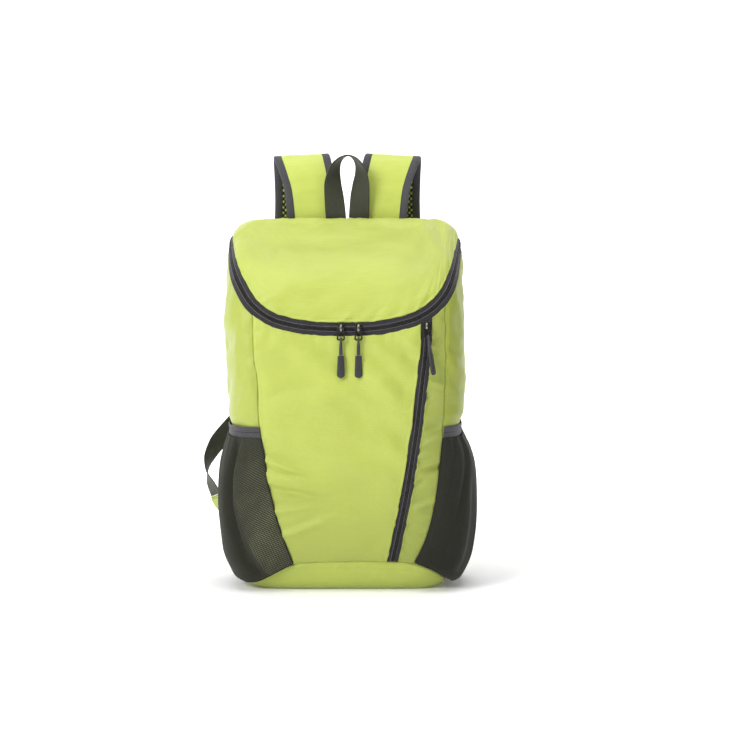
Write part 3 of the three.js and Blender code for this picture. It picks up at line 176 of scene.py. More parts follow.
BOTTOM_FRONT_SEAM = {
    "x": (-0.8, -0.7, -0.62, -0.54, -0.425, -0.26, 0.0, 0.31, 0.56, 0.7, 0.77, 0.84),
    "z": (0.02, 0.029, 0.042, 0.056, 0.073, 0.079, 0.082, 0.082, 0.077, 0.061, 0.046, 0.024),
}

BACK_SEAM = {
    "z": (0.022, 0.14, 0.34, 0.68, 0.93),
    "x": (0.8, 0.89, 0.9, 0.91, 0.945),
    "y": (0.82, 0.86, 0.86, 0.86, 0.87),
}

FRONT_FOLDS = {
    "x": (-0.42, -0.38, -0.5, 0.1, -0.05, 0.0, 0.72, -0.35, 0.4),
    "z": (0.29, 0.24, 0.47, 0.38, 0.52, 0.62, 0.33, 0.83, 0.82),
    "length": (0.42, 0.42, 0.45, 0.6, 0.65, 0.6, 0.14, 0.5, 0.5),
    "width": (0.09, 0.08, 0.12, 0.14, 0.2, 0.15, 0.06, 0.16, 0.14),
    "depth": (1.3, -1.1, -1.2, 0.9, 1.0, -1.0, -0.9, 1.0, 0.8),
    "turn": (-8, -4, 25, -12, 10, 0, 20, 30, -25),
}

POCKET_SWELL = {
    "up": (0.0, 0.012, 0.045, 0.12, 0.3, 0.46, 0.62, 0.78, 0.92, 1.0),
    "left": (0.0, 0.33, 0.68, 0.68, 0.76, 0.96, 1.0, 0.98, 0.68, 0.34),
    "right": (0.0, 0.4, 0.76, 0.86, 0.94, 1.0, 1.0, 1.0, 0.8, 0.28),
}

STRAP_PATH = {
    "x": (0.317, 0.356, 0.387, 0.401, 0.408, 0.408, 0.408, 0.423, 0.465, 0.528, 0.62, 0.711, 0.761),
    "y": (0.947, 1.013, 1.118, 1.237, 1.355, 1.434, 1.461, 1.447, 1.408, 1.355, 1.289, 1.237, 1.211),
    "z": (
        1.0583, 1.1099, 1.1413, 1.1491, 1.1368, 1.0942, 1.0202, 0.9305, 0.8296, 0.7287, 0.6323,
        0.5516, 0.5067,
    ),
    "width": (0.98, 1.02, 1.05, 1.04, 1.02, 1, 0.98, 0.97, 0.96, 0.94, 0.88, 0.8, 0.74),
    "thickness": (0.9, 1, 1, 1, 1, 1, 1, 1, 1, 1, 1, 0.95, 0.85),
    "lean": (0, -1, -3, -3, -2, 0, 0, 0, 6, 12, 17, 18, 18),
}

LOOP_PATH = {
    "x": (
        -0.342, -0.35, -0.403, -0.444, -0.406, -0.306, -0.139, 0.069, 0.278, 0.444, 0.511, 0.506,
        0.472, 0.444, 0.436,
    ),
    "up": (
        0, 0.064, 0.346, 0.551, 0.744, 0.872, 0.955, 0.987, 0.949, 0.846, 0.705, 0.538, 0.346,
        0.064, 0,
    ),
    "turn": (0, 4, 20, 36, 56, 69, 80, 90, 100, 111, 125, 145, 160, 176, 180),
}

LEFT_WEBBING_ROUTE = {
    "x": (-0.923, -1.028, -1.127, -1.197, -1.218, -1.19, -1.141),
    "y": (1.158, 1.132, 1.105, 1.079, 1.053, 1.039, 1.026),
    "z": (0.4215, 0.3924, 0.3565, 0.3161, 0.2803, 0.2444, 0.2108),
    "lean": (-38, -45, -42, -24, 0, 20, 30),
    "turn": (12, 26, 34, 58, 88, 118, 128),
}

RIGHT_WEBBING_ROUTE = {
    "x": (0.852, 0.908, 0.965, 0.993),
    "y": (1.171, 1.158, 1.132, 1.105),
    "z": (0.3812, 0.3251, 0.2646, 0.2197),
    "lean": (14, 16, 14, 0),
    "turn": (0, 0, 0, 0),
}

CORNERS = {"left": (-0.8, 0.02), "right": (0.84, 0.02)}
SIDE_FOOT = (0.845, 0.016)
BACK_FOOT = (0.8, 0.8, 0.022)
TOP_SEAM_Y = 0.86
TOP_CORNER = (0.84, 0.86, 0.985)
FOOT_STOPS = (0, 0.1, 0.2, 0.32, 0.6, 0.85, 1)
TAB_FOOT = (0.86, 1.0, 0.125)
SIDE_FRONT_CELLS = 3
FRONT_CELLS = 8
WALL_ROWS = 14
LID_EDGE_ROWS = 4
PULLS = {
    "left": {"x": -0.0296, "zip": "main", "sway": 0, "grip": 0},
    "right": {"x": 0.1141, "zip": "main", "sway": 0, "grip": 4},
    "front": {"x": 0, "zip": "front", "sway": 8, "grip": 60},
}


def smooth(table, key, column, place):
    """A smooth line through the rows of a table."""
    keys, values = np.array(table[key], float), np.array(table[column], float)
    at = np.clip(place, keys[0], keys[-1])
    k = np.searchsorted(keys[1:-1], at, side="left")
    before, after = np.maximum(k - 1, 0), np.minimum(k + 2, len(keys) - 1)
    first = (values[k + 1] - values[before]) / (keys[k + 1] - keys[before])
    last = (values[after] - values[k]) / (keys[after] - keys[k])
    span = keys[k + 1] - keys[k]
    t = (at - keys[k]) / span
    t2, t3 = t * t, t * t * t
    return (
        values[k] * (2 * t3 - 3 * t2 + 1)
        + first * span * (t3 - 2 * t2 + t)
        + values[k + 1] * (3 * t2 - 2 * t3)
        + last * span * (t3 - t2)
    )


def unit(v):
    return v / np.maximum(np.linalg.norm(v, axis=-1, keepdims=True), 1e-9)


def table_rows(table):
    """The rows of a table that is kept as columns."""
    return [dict(zip(table, values)) for values in zip(*table.values())]


def vec(x, y, z):
    return np.stack(np.broadcast_arrays(np.asarray(x, float), y, z), axis=-1)


def fullness(p):
    """Grows from inside the bag outwards and is 1 on its skin."""
    x, y, z = p[..., 0], p[..., 1], p[..., 2]
    share = np.clip(z / BAG_HEIGHT, 0, 1)
    left = smooth(BODY_SECTIONS, "height", "left", share)
    right = smooth(BODY_SECTIONS, "height", "right", share)
    width = HALF_WIDTH * np.where(x < 0, left, right)
    front = FRONT_DEPTH * smooth(BODY_SECTIONS, "height", "front", share)
    back = BACK_DEPTH * smooth(BODY_SECTIONS, "height", "back", share)
    top = BAG_HEIGHT + TOP_RISE
    side = (np.abs(x) / width) ** SIDE_POWER
    depth = np.where(y < 0, np.abs(y / front) ** FRONT_POWER, np.abs(y / back) ** BACK_POWER)
    above = (np.abs(z - MIDDLE_HEIGHT) / (top - MIDDLE_HEIGHT)) ** TOP_POWER
    below = (np.abs(MIDDLE_HEIGHT - z) / (MIDDLE_HEIGHT + BASE_SAG_DEPTH)) ** BASE_POWER
    rise = np.where(z > MIDDLE_HEIGHT, above, below)
    run = LID_SLOPE_END + FRONT_DEPTH
    climb = top - LID_SLOPE_START
    reach = climb * FRONT_DEPTH + run * (LID_SLOPE_START - MIDDLE_HEIGHT)
    slope = np.maximum(0, (run * (z - MIDDLE_HEIGHT) - climb * y) / reach)
    return side + depth + rise + slope**LID_POWER


# How far to either side the skin's slope is felt, in millimetres
NORMAL_STEP = 0.5


def normal_at(p):
    steps = np.eye(3) * NORMAL_STEP
    return unit(np.stack([fullness(p + s) - fullness(p - s) for s in steps], axis=-1))


def fold_places(p, fold):
    """Where points lie along a fold and across it, as shares of its length and width."""
    across = p[..., 0] - fold["x"] * HALF_WIDTH
    up = p[..., 2] - fold["z"] * BAG_HEIGHT
    c, s = math.cos(fold["turn"] * TURN), math.sin(fold["turn"] * TURN)
    along = (across * c + up * s) / (fold["length"] * HALF_WIDTH)
    over = (up * c - across * s) / (fold["width"] * HALF_WIDTH)
    return along, over


def fold_depth(p):
    """Soft folds that press the front in or out."""
    depth = np.zeros(p.shape[:-1])
    for fold in table_rows(FRONT_FOLDS):
        along, over = fold_places(p, fold)
        depth += fold["depth"] * CLOTH_THICKNESS * np.exp(-along * along - over * over)
    y = p[..., 1]
    return np.where(y > 0, 0, depth * np.minimum(1, -y / (FRONT_DEPTH / 2)))


def cast(start, way, reach):
    """The skin's place on rays that start inside the bag."""
    inside = np.zeros(start.shape[:-1])
    outside = np.full(start.shape[:-1], float(reach))
    for _ in range(32):
        middle = (inside + outside) / 2
        within = fullness(start + way * middle[..., None]) < 1
        inside, outside = np.where(within, middle, inside), np.where(within, outside, middle)
    return start + way * inside[..., None]


def skin(p):
    """Moves points onto the skin, straight away from an upright plate inside the bag."""
    p = np.asarray(p, float)
    start = vec(
        np.clip(p[..., 0], -HALF_WIDTH * 0.6, HALF_WIDTH * 0.6),
        BACK_DEPTH * 0.05,
        np.clip(p[..., 2], BAG_HEIGHT * 0.2, BAG_HEIGHT * 0.7),
    )
    hit = cast(start, unit(p - start), BAG_HEIGHT)
    hit = hit + normal_at(hit) * fold_depth(hit)[..., None]
    low = hit[..., 2] < 0
    share = np.where(low, start[..., 2] / (start[..., 2] - np.minimum(hit[..., 2], -1e-9)), 1)
    hit = start + (hit - start) * share[..., None]
    hit[..., 2] = np.where(low, 0, hit[..., 2])
    return hit


def on_front(x, z):
    """The place on the front straight behind a spot of the front view."""
    start = vec(x, 0.0, z)
    hit = cast(start, np.broadcast_to([0.0, -1.0, 0.0], start.shape), 2 * FRONT_DEPTH)
    hit = hit + normal_at(hit) * fold_depth(hit)[..., None]
    beside = (fullness(start) >= 1)[..., None]
    return np.where(beside, skin(vec(x, -float(FRONT_DEPTH), z)), hit)


def top_height(x, y):
    start = vec(x, y, float(MIDDLE_HEIGHT))
    return cast(start, np.array([0.0, 0.0, 1.0]), BAG_HEIGHT)[..., 2]


def curve_at(points, t):
    """Places along the smooth centripetal curve through a list of points, its shares spread by index."""
    points = np.asarray(points, float)
    ends = np.vstack([2 * points[0] - points[1], points, 2 * points[-1] - points[-2]])
    at = np.clip(t, 0, 1) * (len(points) - 1)
    k = np.minimum(at.astype(int), len(points) - 2)
    w = (at - k)[:, None]
    p0, p1, p2, p3 = (ends[k + j] for j in range(4))

    def knot(a, b):
        return np.maximum(np.sum((a - b) ** 2, axis=1) ** 0.25, 1e-4)[:, None]

    d0, d1, d2 = knot(p0, p1), knot(p1, p2), knot(p2, p3)
    t1 = ((p1 - p0) / d0 - (p2 - p0) / (d0 + d1) + (p2 - p1) / d1) * d1
    t2 = ((p2 - p1) / d1 - (p3 - p1) / (d1 + d2) + (p3 - p2) / d2) * d1
    c2 = -3 * p1 + 3 * p2 - 2 * t1 - t2
    c3 = 2 * p1 - 2 * p2 + t1 + t2
    return p1 + t1 * w + c2 * w * w + c3 * w * w * w


def curve_tangent(points, t):
    step = 1e-4
    return unit(curve_at(points, np.minimum(t + step, 1)) - curve_at(points, np.maximum(t - step, 0)))


ZIP_LINE_POINTS = skin(
    np.column_stack([MAIN_ZIP_LINE[key] for key in "xyz"]) * [HALF_WIDTH, HALF_DEPTH, BAG_HEIGHT]
)


def main_zip(share, offset):
    """Places on the skin beside the main zip's centre line."""
    share = np.atleast_1d(np.asarray(share, float))
    centre = skin(curve_at(ZIP_LINE_POINTS, share))
    up = unit(np.cross(curve_tangent(ZIP_LINE_POINTS, share), normal_at(centre)))
    up = np.where(up[:, 2:] < 0, -up, up)
    return skin(centre + up * np.reshape(offset, (-1, 1)))


def zip_share_at(x, offset):
    low, high = 0.1, 0.9
    for _ in range(30):
        middle = (low + high) / 2
        if main_zip(middle, offset)[0, 0] < x:
            low = middle
        else:
            high = middle
    return low


def bottom_seam_z(x):
    return BAG_HEIGHT * smooth(BOTTOM_FRONT_SEAM, "x", "z", np.asarray(x) / HALF_WIDTH)


class FrontSeam:
    """A seam down the front, from the bottom seam up to the main zip."""

    def __init__(self, table, offset):
        self.table, self.offset = table, offset
        low = bottom_seam_z(self.x_at(BAG_HEIGHT * table["z"][0]))
        self.low = float(bottom_seam_z(self.x_at(low)))
        self.top_x = float(self.x_at(BAG_HEIGHT * 0.715))
        self.share = zip_share_at(self.top_x, -MAIN_ZIP_WIDTH / 2)
        self.top = main_zip(self.share, -MAIN_ZIP_WIDTH / 2)[0]

    def x_at(self, z):
        step = 0.01
        share = np.asarray(z) / BAG_HEIGHT
        ends = [smooth(self.table, "z", "x", share + s) for s in (step, -step)]
        lean = (ends[0] - ends[1]) * HALF_WIDTH / (2 * step * BAG_HEIGHT)
        return HALF_WIDTH * smooth(self.table, "z", "x", share) + self.offset * np.hypot(1, lean)

    def at(self, t):
        t = np.atleast_1d(np.asarray(t, float))
        z = self.low + (self.top[2] - self.low) * t
        x = self.x_at(z) + (self.top_x - self.x_at(self.top[2])) * t**8
        points = on_front(x, z)
        points[t >= 1] = self.top
        return points


LEFT_SEAM = FrontSeam(LEFT_FRONT_SEAM, 0)
RIGHT_SEAM = FrontSeam(RIGHT_FRONT_SEAM, 0)
ZIP_INNER = FrontSeam(FRONT_ZIP_LINE, -FRONT_ZIP_WIDTH / 2)
ZIP_OUTER = FrontSeam(FRONT_ZIP_LINE, FRONT_ZIP_WIDTH / 2)

SIDE_CELLS = SIDE_FRONT_CELLS + len(FOOT_STOPS) - 1
ZIP_SHARES = np.concatenate(
    [
        np.linspace(0, LEFT_SEAM.share, SIDE_CELLS + 1),
        np.linspace(LEFT_SEAM.share, ZIP_INNER.share, FRONT_CELLS + 1)[1:],
        [ZIP_OUTER.share, RIGHT_SEAM.share],
        np.linspace(RIGHT_SEAM.share, 1, SIDE_CELLS + 1)[1:],
    ]
)
ZIP_END = len(ZIP_SHARES) - 1
# Columns of the seams along the front's foot and the main zip: where each panel starts and ends
FRONT_START, FRONT_END = SIDE_CELLS, SIDE_CELLS + FRONT_CELLS


def zip_edge(columns, side):
    """The main zip's lower (-1) or upper (1) edge at columns of the panels."""
    shares = np.interp(columns, np.arange(len(ZIP_SHARES)), ZIP_SHARES)
    return main_zip(shares, side * MAIN_ZIP_WIDTH / 2)


def front_foot(x):
    return on_front(x, bottom_seam_z(x))


LOW_X = {name: float(seam.at(0)[0, 0]) for name, seam in
         {"left": LEFT_SEAM, "inner": ZIP_INNER, "outer": ZIP_OUTER, "right": RIGHT_SEAM}.items()}
CORNER_X = {"left": CORNERS["left"][0] * HALF_WIDTH, "right": CORNERS["right"][0] * HALF_WIDTH}
FOOT_X = np.concatenate(
    [
        np.linspace(CORNER_X["left"], LOW_X["left"], SIDE_FRONT_CELLS + 1),
        np.linspace(LOW_X["left"], LOW_X["inner"], FRONT_CELLS + 1)[1:],
        [LOW_X["outer"], LOW_X["right"]],
        np.linspace(LOW_X["right"], CORNER_X["right"], SIDE_FRONT_CELLS + 1)[1:],
    ]
)


def foot_corner(side):
    x, z = CORNERS[side]
    return on_front(np.array([x * HALF_WIDTH]), np.array([z * BAG_HEIGHT]))[0]


SIGN = {"left": -1, "right": 1}


def back_foot(x_share):
    x = np.asarray(x_share, float) * BACK_FOOT[0] * HALF_WIDTH
    return skin(vec(x, BACK_FOOT[1] * BACK_DEPTH, BACK_FOOT[2] * BAG_HEIGHT))


def side_foot_points(side):
    a, b = foot_corner(side), back_foot([SIGN[side]])[0]
    t = np.array(FOOT_STOPS)
    x = SIGN[side] * SIDE_FOOT[0] * HALF_WIDTH
    points = skin(vec(x, a[1] + (b[1] - a[1]) * t, SIDE_FOOT[1] * BAG_HEIGHT))
    points[0], points[-1] = a, b
    return points


def back_edge_points(side):
    top = zip_edge([0 if side == "left" else ZIP_END], -1)[0]
    t = np.linspace(0, 1, WALL_ROWS + 1)
    z = BACK_SEAM["z"][0] + (top[2] / BAG_HEIGHT - BACK_SEAM["z"][0]) * t
    x = SIGN[side] * HALF_WIDTH * smooth(BACK_SEAM, "z", "x", z)
    points = skin(vec(x, BACK_DEPTH * smooth(BACK_SEAM, "z", "y", z), z * BAG_HEIGHT))
    points[0], points[-1] = back_foot([SIGN[side]])[0], top
    return points


def top_corner(side):
    x, y, z = TOP_CORNER
    return skin(np.array([SIGN[side] * x * HALF_WIDTH, y * BACK_DEPTH, z * BAG_HEIGHT]))


def top_seam_points():
    a, b = top_corner("left"), top_corner("right")
    s = np.linspace(0, 1, ZIP_END + 1)
    points = skin(vec(a[0] + (b[0] - a[0]) * s, TOP_SEAM_Y * BACK_DEPTH, BAG_HEIGHT * 1.05))
    points[0], points[-1] = a, b
    return points


def lid_side_points(side):
    start = zip_edge([0 if side == "left" else ZIP_END], 1)[0]
    t = np.linspace(0, 1, LID_EDGE_ROWS + 1)[:, None]
    return skin(start + (top_corner(side) - start) * t)


def resampled(points, count):
    """A smooth line through points that lie on the skin, kept on it."""
    line = curve_at(points, np.linspace(0, 1, count + 1))
    line = skin(line)
    line[0], line[-1] = points[0], points[-1]
    return line


FOOT_LINES = {side: side_foot_points(side) for side in SIGN}
BACK_LINES = {side: back_edge_points(side) for side in SIGN}
LID_LINES = {side: lid_side_points(side) for side in SIGN}
TOP_LINE = top_seam_points()


def patch(bottom, top, left, right):
    """A grid of skin points inside four edges."""
    rows, columns = len(left), len(bottom)
    s = np.linspace(0, 1, columns)[None, :, None]
    t = np.linspace(0, 1, rows)[:, None, None]
    grid = (1 - t) * bottom[None] + t * top[None] + (1 - s) * left[:, None] + s * right[:, None]
    grid -= (1 - s) * (1 - t) * bottom[0] + s * (1 - t) * bottom[-1]
    grid -= (1 - s) * t * top[0] + s * t * top[-1]
    grid = skin(grid)
    grid[0], grid[-1], grid[:, 0], grid[:, -1] = bottom, top, left, right
    return grid


def noise(p, size, seed):
    """Smooth noise from -1 to 1 over places in millimetres."""
    random = np.random.default_rng(seed)
    table = random.uniform(-1, 1, 4096)
    q = np.asarray(p, float) / size
    base = np.floor(q).astype(int)
    w = q - base
    w = w * w * (3 - 2 * w)
    total = 0
    for i in (0, 1):
        for j in (0, 1):
            for k in (0, 1):
                cell = (base[..., 0] + i) * 73 + (base[..., 1] + j) * 179 + (base[..., 2] + k) * 283
                weight = (w[..., 0] if i else 1 - w[..., 0]) * (w[..., 1] if j else 1 - w[..., 1])
                total = total + table[cell % 4096] * weight * (w[..., 2] if k else 1 - w[..., 2])
    return total


def both_faces(*parts):
    """Cloth coordinates in metres, from millimetres, for both faces of a wall."""
    place = np.stack(np.broadcast_arrays(*parts), axis=-1).reshape(-1, 3) * MM
    return np.concatenate([place, place])


def run_along(points):
    """How far each point lies along its line."""
    return np.concatenate([[0], np.cumsum(np.linalg.norm(np.diff(points, axis=0), axis=1))])


def values_at(places, run, values):
    """Points or directions at given lengths along a line."""
    return np.column_stack([np.interp(places, run, values[:, c]) for c in range(3)])


def soft_ring(turn, power):
    """A point of a ring between a circle and a square, of half width 1."""
    x, y = math.cos(turn), math.sin(turn)
    return math.copysign(abs(x) ** power, x), math.copysign(abs(y) ** power, y)


def add_object(name, points, faces, material, place=None, body="bag", smooth_faces=True):
    """A mesh object from places in millimetres; place holds cloth coordinates for its material."""
    mesh = bpy.data.meshes.new(name)
    points = np.asarray(points, float).reshape(-1, 3)
    mesh.from_pydata((points * MM).tolist(), [], faces)
    if place is not None:
        layer = mesh.attributes.new("cloth_place", "FLOAT_VECTOR", "POINT")
        layer.data.foreach_set("vector", np.asarray(place, np.float32).ravel())
    for one in material if isinstance(material, (list, tuple)) else [material]:
        mesh.materials.append(one)
    if smooth_faces:
        mesh.shade_smooth()
    piece = bpy.data.objects.new(name, mesh)
    bpy.context.scene.collection.objects.link(piece)
    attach(piece, body)
    return piece


def grid_faces(rows, columns, start=0, flip=False, wrap=False):
    j, i = np.meshgrid(np.arange(rows - 1), np.arange(columns if wrap else columns - 1), indexing="ij")
    a = start + j * columns + i
    b = start + j * columns + (i + 1) % columns
    quads = np.stack([a, b, b + columns, a + columns], axis=-1).reshape(-1, 4)
    return (quads[:, ::-1] if flip else quads).tolist()


def volume_of(points, faces):
    quads = np.array([f if len(f) == 4 else list(f) + [f[0]] for f in faces])
    p = points[quads]
    total = np.einsum("ij,ij->i", p[:, 0], np.cross(p[:, 1], p[:, 2]))
    return float(np.sum(total + np.einsum("ij,ij->i", p[:, 0], np.cross(p[:, 2], p[:, 3]))))


def facing_out(points, faces):
    return faces if volume_of(points, faces) > 0 else [f[::-1] for f in faces]


def lengths_along(grid, axis):
    """How far each point of a grid lies along its row or column, in millimetres."""
    gaps = np.linalg.norm(np.diff(grid, axis=axis), axis=-1)
    pad = [(0, 0), (0, 0)]
    pad[axis] = (1, 0)
    return np.pad(np.cumsum(gaps, axis=axis), pad)


def grid_normals(grid):
    across = np.gradient(grid, axis=1)
    up = np.gradient(grid, axis=0)
    return unit(np.cross(across, up))


def outward(grid):
    """The grid's own normals, turned away from the bag."""
    outs = grid_normals(grid)
    return outs * np.sign(np.sum(outs * normal_at(grid), axis=-1, keepdims=True))


def wall(outer, inner):
    """Points and faces of a closed wall between two grids."""
    rows, columns = outer.shape[:2]
    points = np.concatenate([outer.reshape(-1, 3), inner.reshape(-1, 3)])
    count = rows * columns
    faces = grid_faces(rows, columns) + grid_faces(rows, columns, count, flip=True)
    ring = np.concatenate(
        [
            np.arange(columns),
            np.arange(1, rows) * columns + columns - 1,
            (rows - 1) * columns + np.arange(columns - 2, -1, -1),
            np.arange(rows - 2, 0, -1) * columns,
        ]
    )
    after = np.roll(ring, -1)
    faces += np.stack([ring, ring + count, after + count, after], axis=-1).tolist()
    return points, facing_out(points, faces)


def side_distances(grid):
    """How far each point of a panel lies from its four sides."""
    along, up = lengths_along(grid, 1), lengths_along(grid, 0)
    return {"left": along, "right": along[:, -1:] - along, "bottom": up, "top": up[-1:] - up}


# How high a hem stands and how far a seam turns in, in millimetres
HEM_RISE = 1.35
SEAM_TURN_IN = 0.7


def hemmed(grid, hems, seed):
    """Draws a panel's edge over the zip beside it, in the small scallops that its stitches make."""
    inside = {"left": (grid[:, :1], grid[:, 2:3]), "right": (grid[:, -1:], grid[:, -3:-2]),
              "bottom": (grid[:1], grid[2:3]), "top": (grid[-1:], grid[-3:-2])}
    distances = side_distances(grid)
    moved = grid
    for k, side in enumerate(hems):
        edge, next_to = inside[side]
        across = side in ("bottom", "top")
        run = lengths_along(edge, 1 if across else 0)
        scallop = 0.35 + 0.75 * noise(vec(run, 60.0 * k, seed), 4.6, seed + 60)
        reach = np.exp(-distances[side] / 3.5) * (1 - np.exp(-((distances_to_ends(grid, across) / 4) ** 2)))
        moved = moved + unit(edge - next_to) * (scallop * reach)[..., None]
    return skin(moved)


def distances_to_ends(grid, across):
    d = side_distances(grid)
    return np.minimum(d["left"], d["right"]) if across else np.minimum(d["bottom"], d["top"])


def cloth_wall(name, grid, material, lift, hems=()):
    """A sewn panel: its skin grid, lifted by wrinkles, turned in at its seams and given a thickness."""
    out = normal_at(grid)
    along, up = lengths_along(grid, 1), lengths_along(grid, 0)
    distances = side_distances(grid)
    edge = np.minimum.reduce(list(distances.values()))
    rise = -SEAM_TURN_IN * np.exp(-((edge / 1.1) ** 2))
    for side in hems:
        rise = rise + HEM_RISE * np.exp(-((distances[side] / 2.2) ** 2))
    outer = grid + out * (rise + lift)[..., None]
    outer[..., 2] = np.maximum(outer[..., 2], np.minimum(grid[..., 2], 0.05))
    inner = outer - out * CLOTH_THICKNESS
    inner[..., 2] = np.maximum(inner[..., 2], 0.0)
    points, faces = wall(outer, inner)
    return add_object(name, points, faces, material, both_faces(along, up, edge)), outer


# Creases that the filling presses into the cloth, each a sharp ridge beside a soft valley: centre as
# shares, length and width as shares of the half width, depth as a share of the full depth, turn in degrees
CREASE_DEPTH = 5.0
CREASES = {
    "x": (-0.5, -0.47, -0.46, -0.42, -0.36, 0.1, 0.2, 0.4, 0.66, 0.7, 0.62, 0.6, 0.66, 0.72, 0.55, 0.3,
          -0.2, 0.05, 0.32, -0.3, 0.7, 0.74, -0.84, 0.9),
    "z": (0.335, 0.305, 0.27, 0.225, 0.17, 0.34, 0.46, 0.52, 0.5, 0.44, 0.36, 0.29, 0.235, 0.56, 0.62,
          0.64, 0.6, 0.56, 0.42, 0.5, 0.4, 0.33, 0.5, 0.6),
    "length": (0.2, 0.26, 0.28, 0.24, 0.22, 0.34, 0.36, 0.3, 0.09, 0.1, 0.1, 0.1, 0.1, 0.09, 0.16, 0.2,
               0.3, 0.34, 0.3, 0.4, 0.1, 0.1, 0.12, 0.12),
    "width": (0.03, 0.032, 0.036, 0.034, 0.034, 0.07, 0.09, 0.08, 0.024, 0.028, 0.026, 0.026, 0.026, 0.024,
              0.05, 0.06, 0.09, 0.1, 0.08, 0.11, 0.026, 0.026, 0.06, 0.05),
    "depth": (0.8, 0.9, -0.8, 0.7, 0.6, 0.6, -0.8, 0.7, 0.6, -0.6, 0.6, -0.6, 0.6, 0.6, -0.6, 0.6,
              0.8, -0.9, 0.6, 0.8, 0.6, -0.6, 0.7, 0.7),
    "turn": (-20, -12, -10, 8, 20, -14, -38, -42, 25, 22, 18, 26, 20, -20, -46, -40,
             -30, -36, -50, 12, 24, 18, 64, -62),
}


# The creases end behind this depth, in millimetres
CREASED_DEPTH = 20


def crease_lift(p):
    lift = np.zeros(p.shape[:-1])
    for crease in table_rows(CREASES):
        along, over = fold_places(p, crease)
        shape = np.exp(-along * along) * (np.exp(-over * over) - 0.5 * np.exp(-((over - 1.4) ** 2)))
        lift += CREASE_DEPTH * crease["depth"] * shape
    return np.where(p[..., 1] < CREASED_DEPTH, lift, 0)


def pucker_lift(grid, sides, size, reach, seed):
    """Short gathers that run away from the seams at the given sides of a grid."""
    distances = side_distances(grid)
    lift = np.zeros(grid.shape[:2])
    for k, (side, share) in enumerate(sides.items()):
        away = distances[side]
        run = distances["left" if side in ("bottom", "top") else "bottom"]
        spot = vec(run, away * 0.25, 40.0 * k)
        gathers = noise(spot, 5.5, seed + k) + 0.6 * noise(spot, 11, seed + 20 + k)
        fade = np.exp(-away / reach) * (1 - np.exp(-((away / 1.5) ** 2)))
        lift += size * share * gathers * fade
    return lift


def cloth_lift(grid, sides, seed, creased, puff, pucker, ripple):
    """What the filling and the seams do to a panel: it bulges, creases and puckers."""
    edge = np.minimum.reduce(list(side_distances(grid).values()))
    lift = puff * (1 - np.exp(-edge / 9))
    lift += pucker_lift(grid, sides, pucker, 11, seed)
    tilted = grid * np.array([0.7, 1.0, 1.5])
    lift += (ripple * noise(tilted, 34, seed + 5) + 0.4 * ripple * noise(tilted, 15, seed + 6)) * (
        1 - np.exp(-edge / 12)
    )
    if creased:
        lift += crease_lift(grid)
    return lift


def spread_out(values, picked, count):
    """Fills a coarse set of rows out to every row between them."""
    at = np.interp(np.arange(count), picked, np.arange(len(picked)))
    k = np.minimum(at.astype(int), len(picked) - 2)
    w = (at - k)[:, None]
    return values[k] * (1 - w) + values[k + 1] * w


def softened(values, times):
    for _ in range(times):
        for axis in (0, 1):
            ends = [(0, 0), (0, 0)]
            ends[axis] = (1, 1)
            wide = np.pad(values, ends, mode="edge")
            first = np.take(wide, range(0, wide.shape[axis] - 2), axis)
            last = np.take(wide, range(2, wide.shape[axis]), axis)
            values = 0.5 * values + 0.25 * (first + last)
    return values


# The cloth simulation of the panels: the cells' size, the greatest moves in and out in millimetres,
# the share of gravity, a point inside the bag and the cloth's own settings
DRAPE_CELL = 5.0
DRAPE_STEPS = 20
DRAPE_INWARD = 4.0
DRAPE_OUTWARD = 1.6
DRAPE_GRAVITY = 0.2
BAG_MIDDLE = np.array([0.0, 0.0, 230.0])
DRAPE_CLOTH = {
    "quality": 5, "mass": 0.02, "air_damping": 3.0, "tension_stiffness": 20, "compression_stiffness": 20,
    "shear_stiffness": 8, "bending_stiffness": 0.08, "use_pressure": True, "uniform_pressure_force": 0.15,
}


def coarse_picks(count, length):
    """Which rows or columns of a fine grid the simulation takes."""
    return np.round(np.linspace(0, count - 1, max(6, int(length / DRAPE_CELL)) + 1)).astype(int)


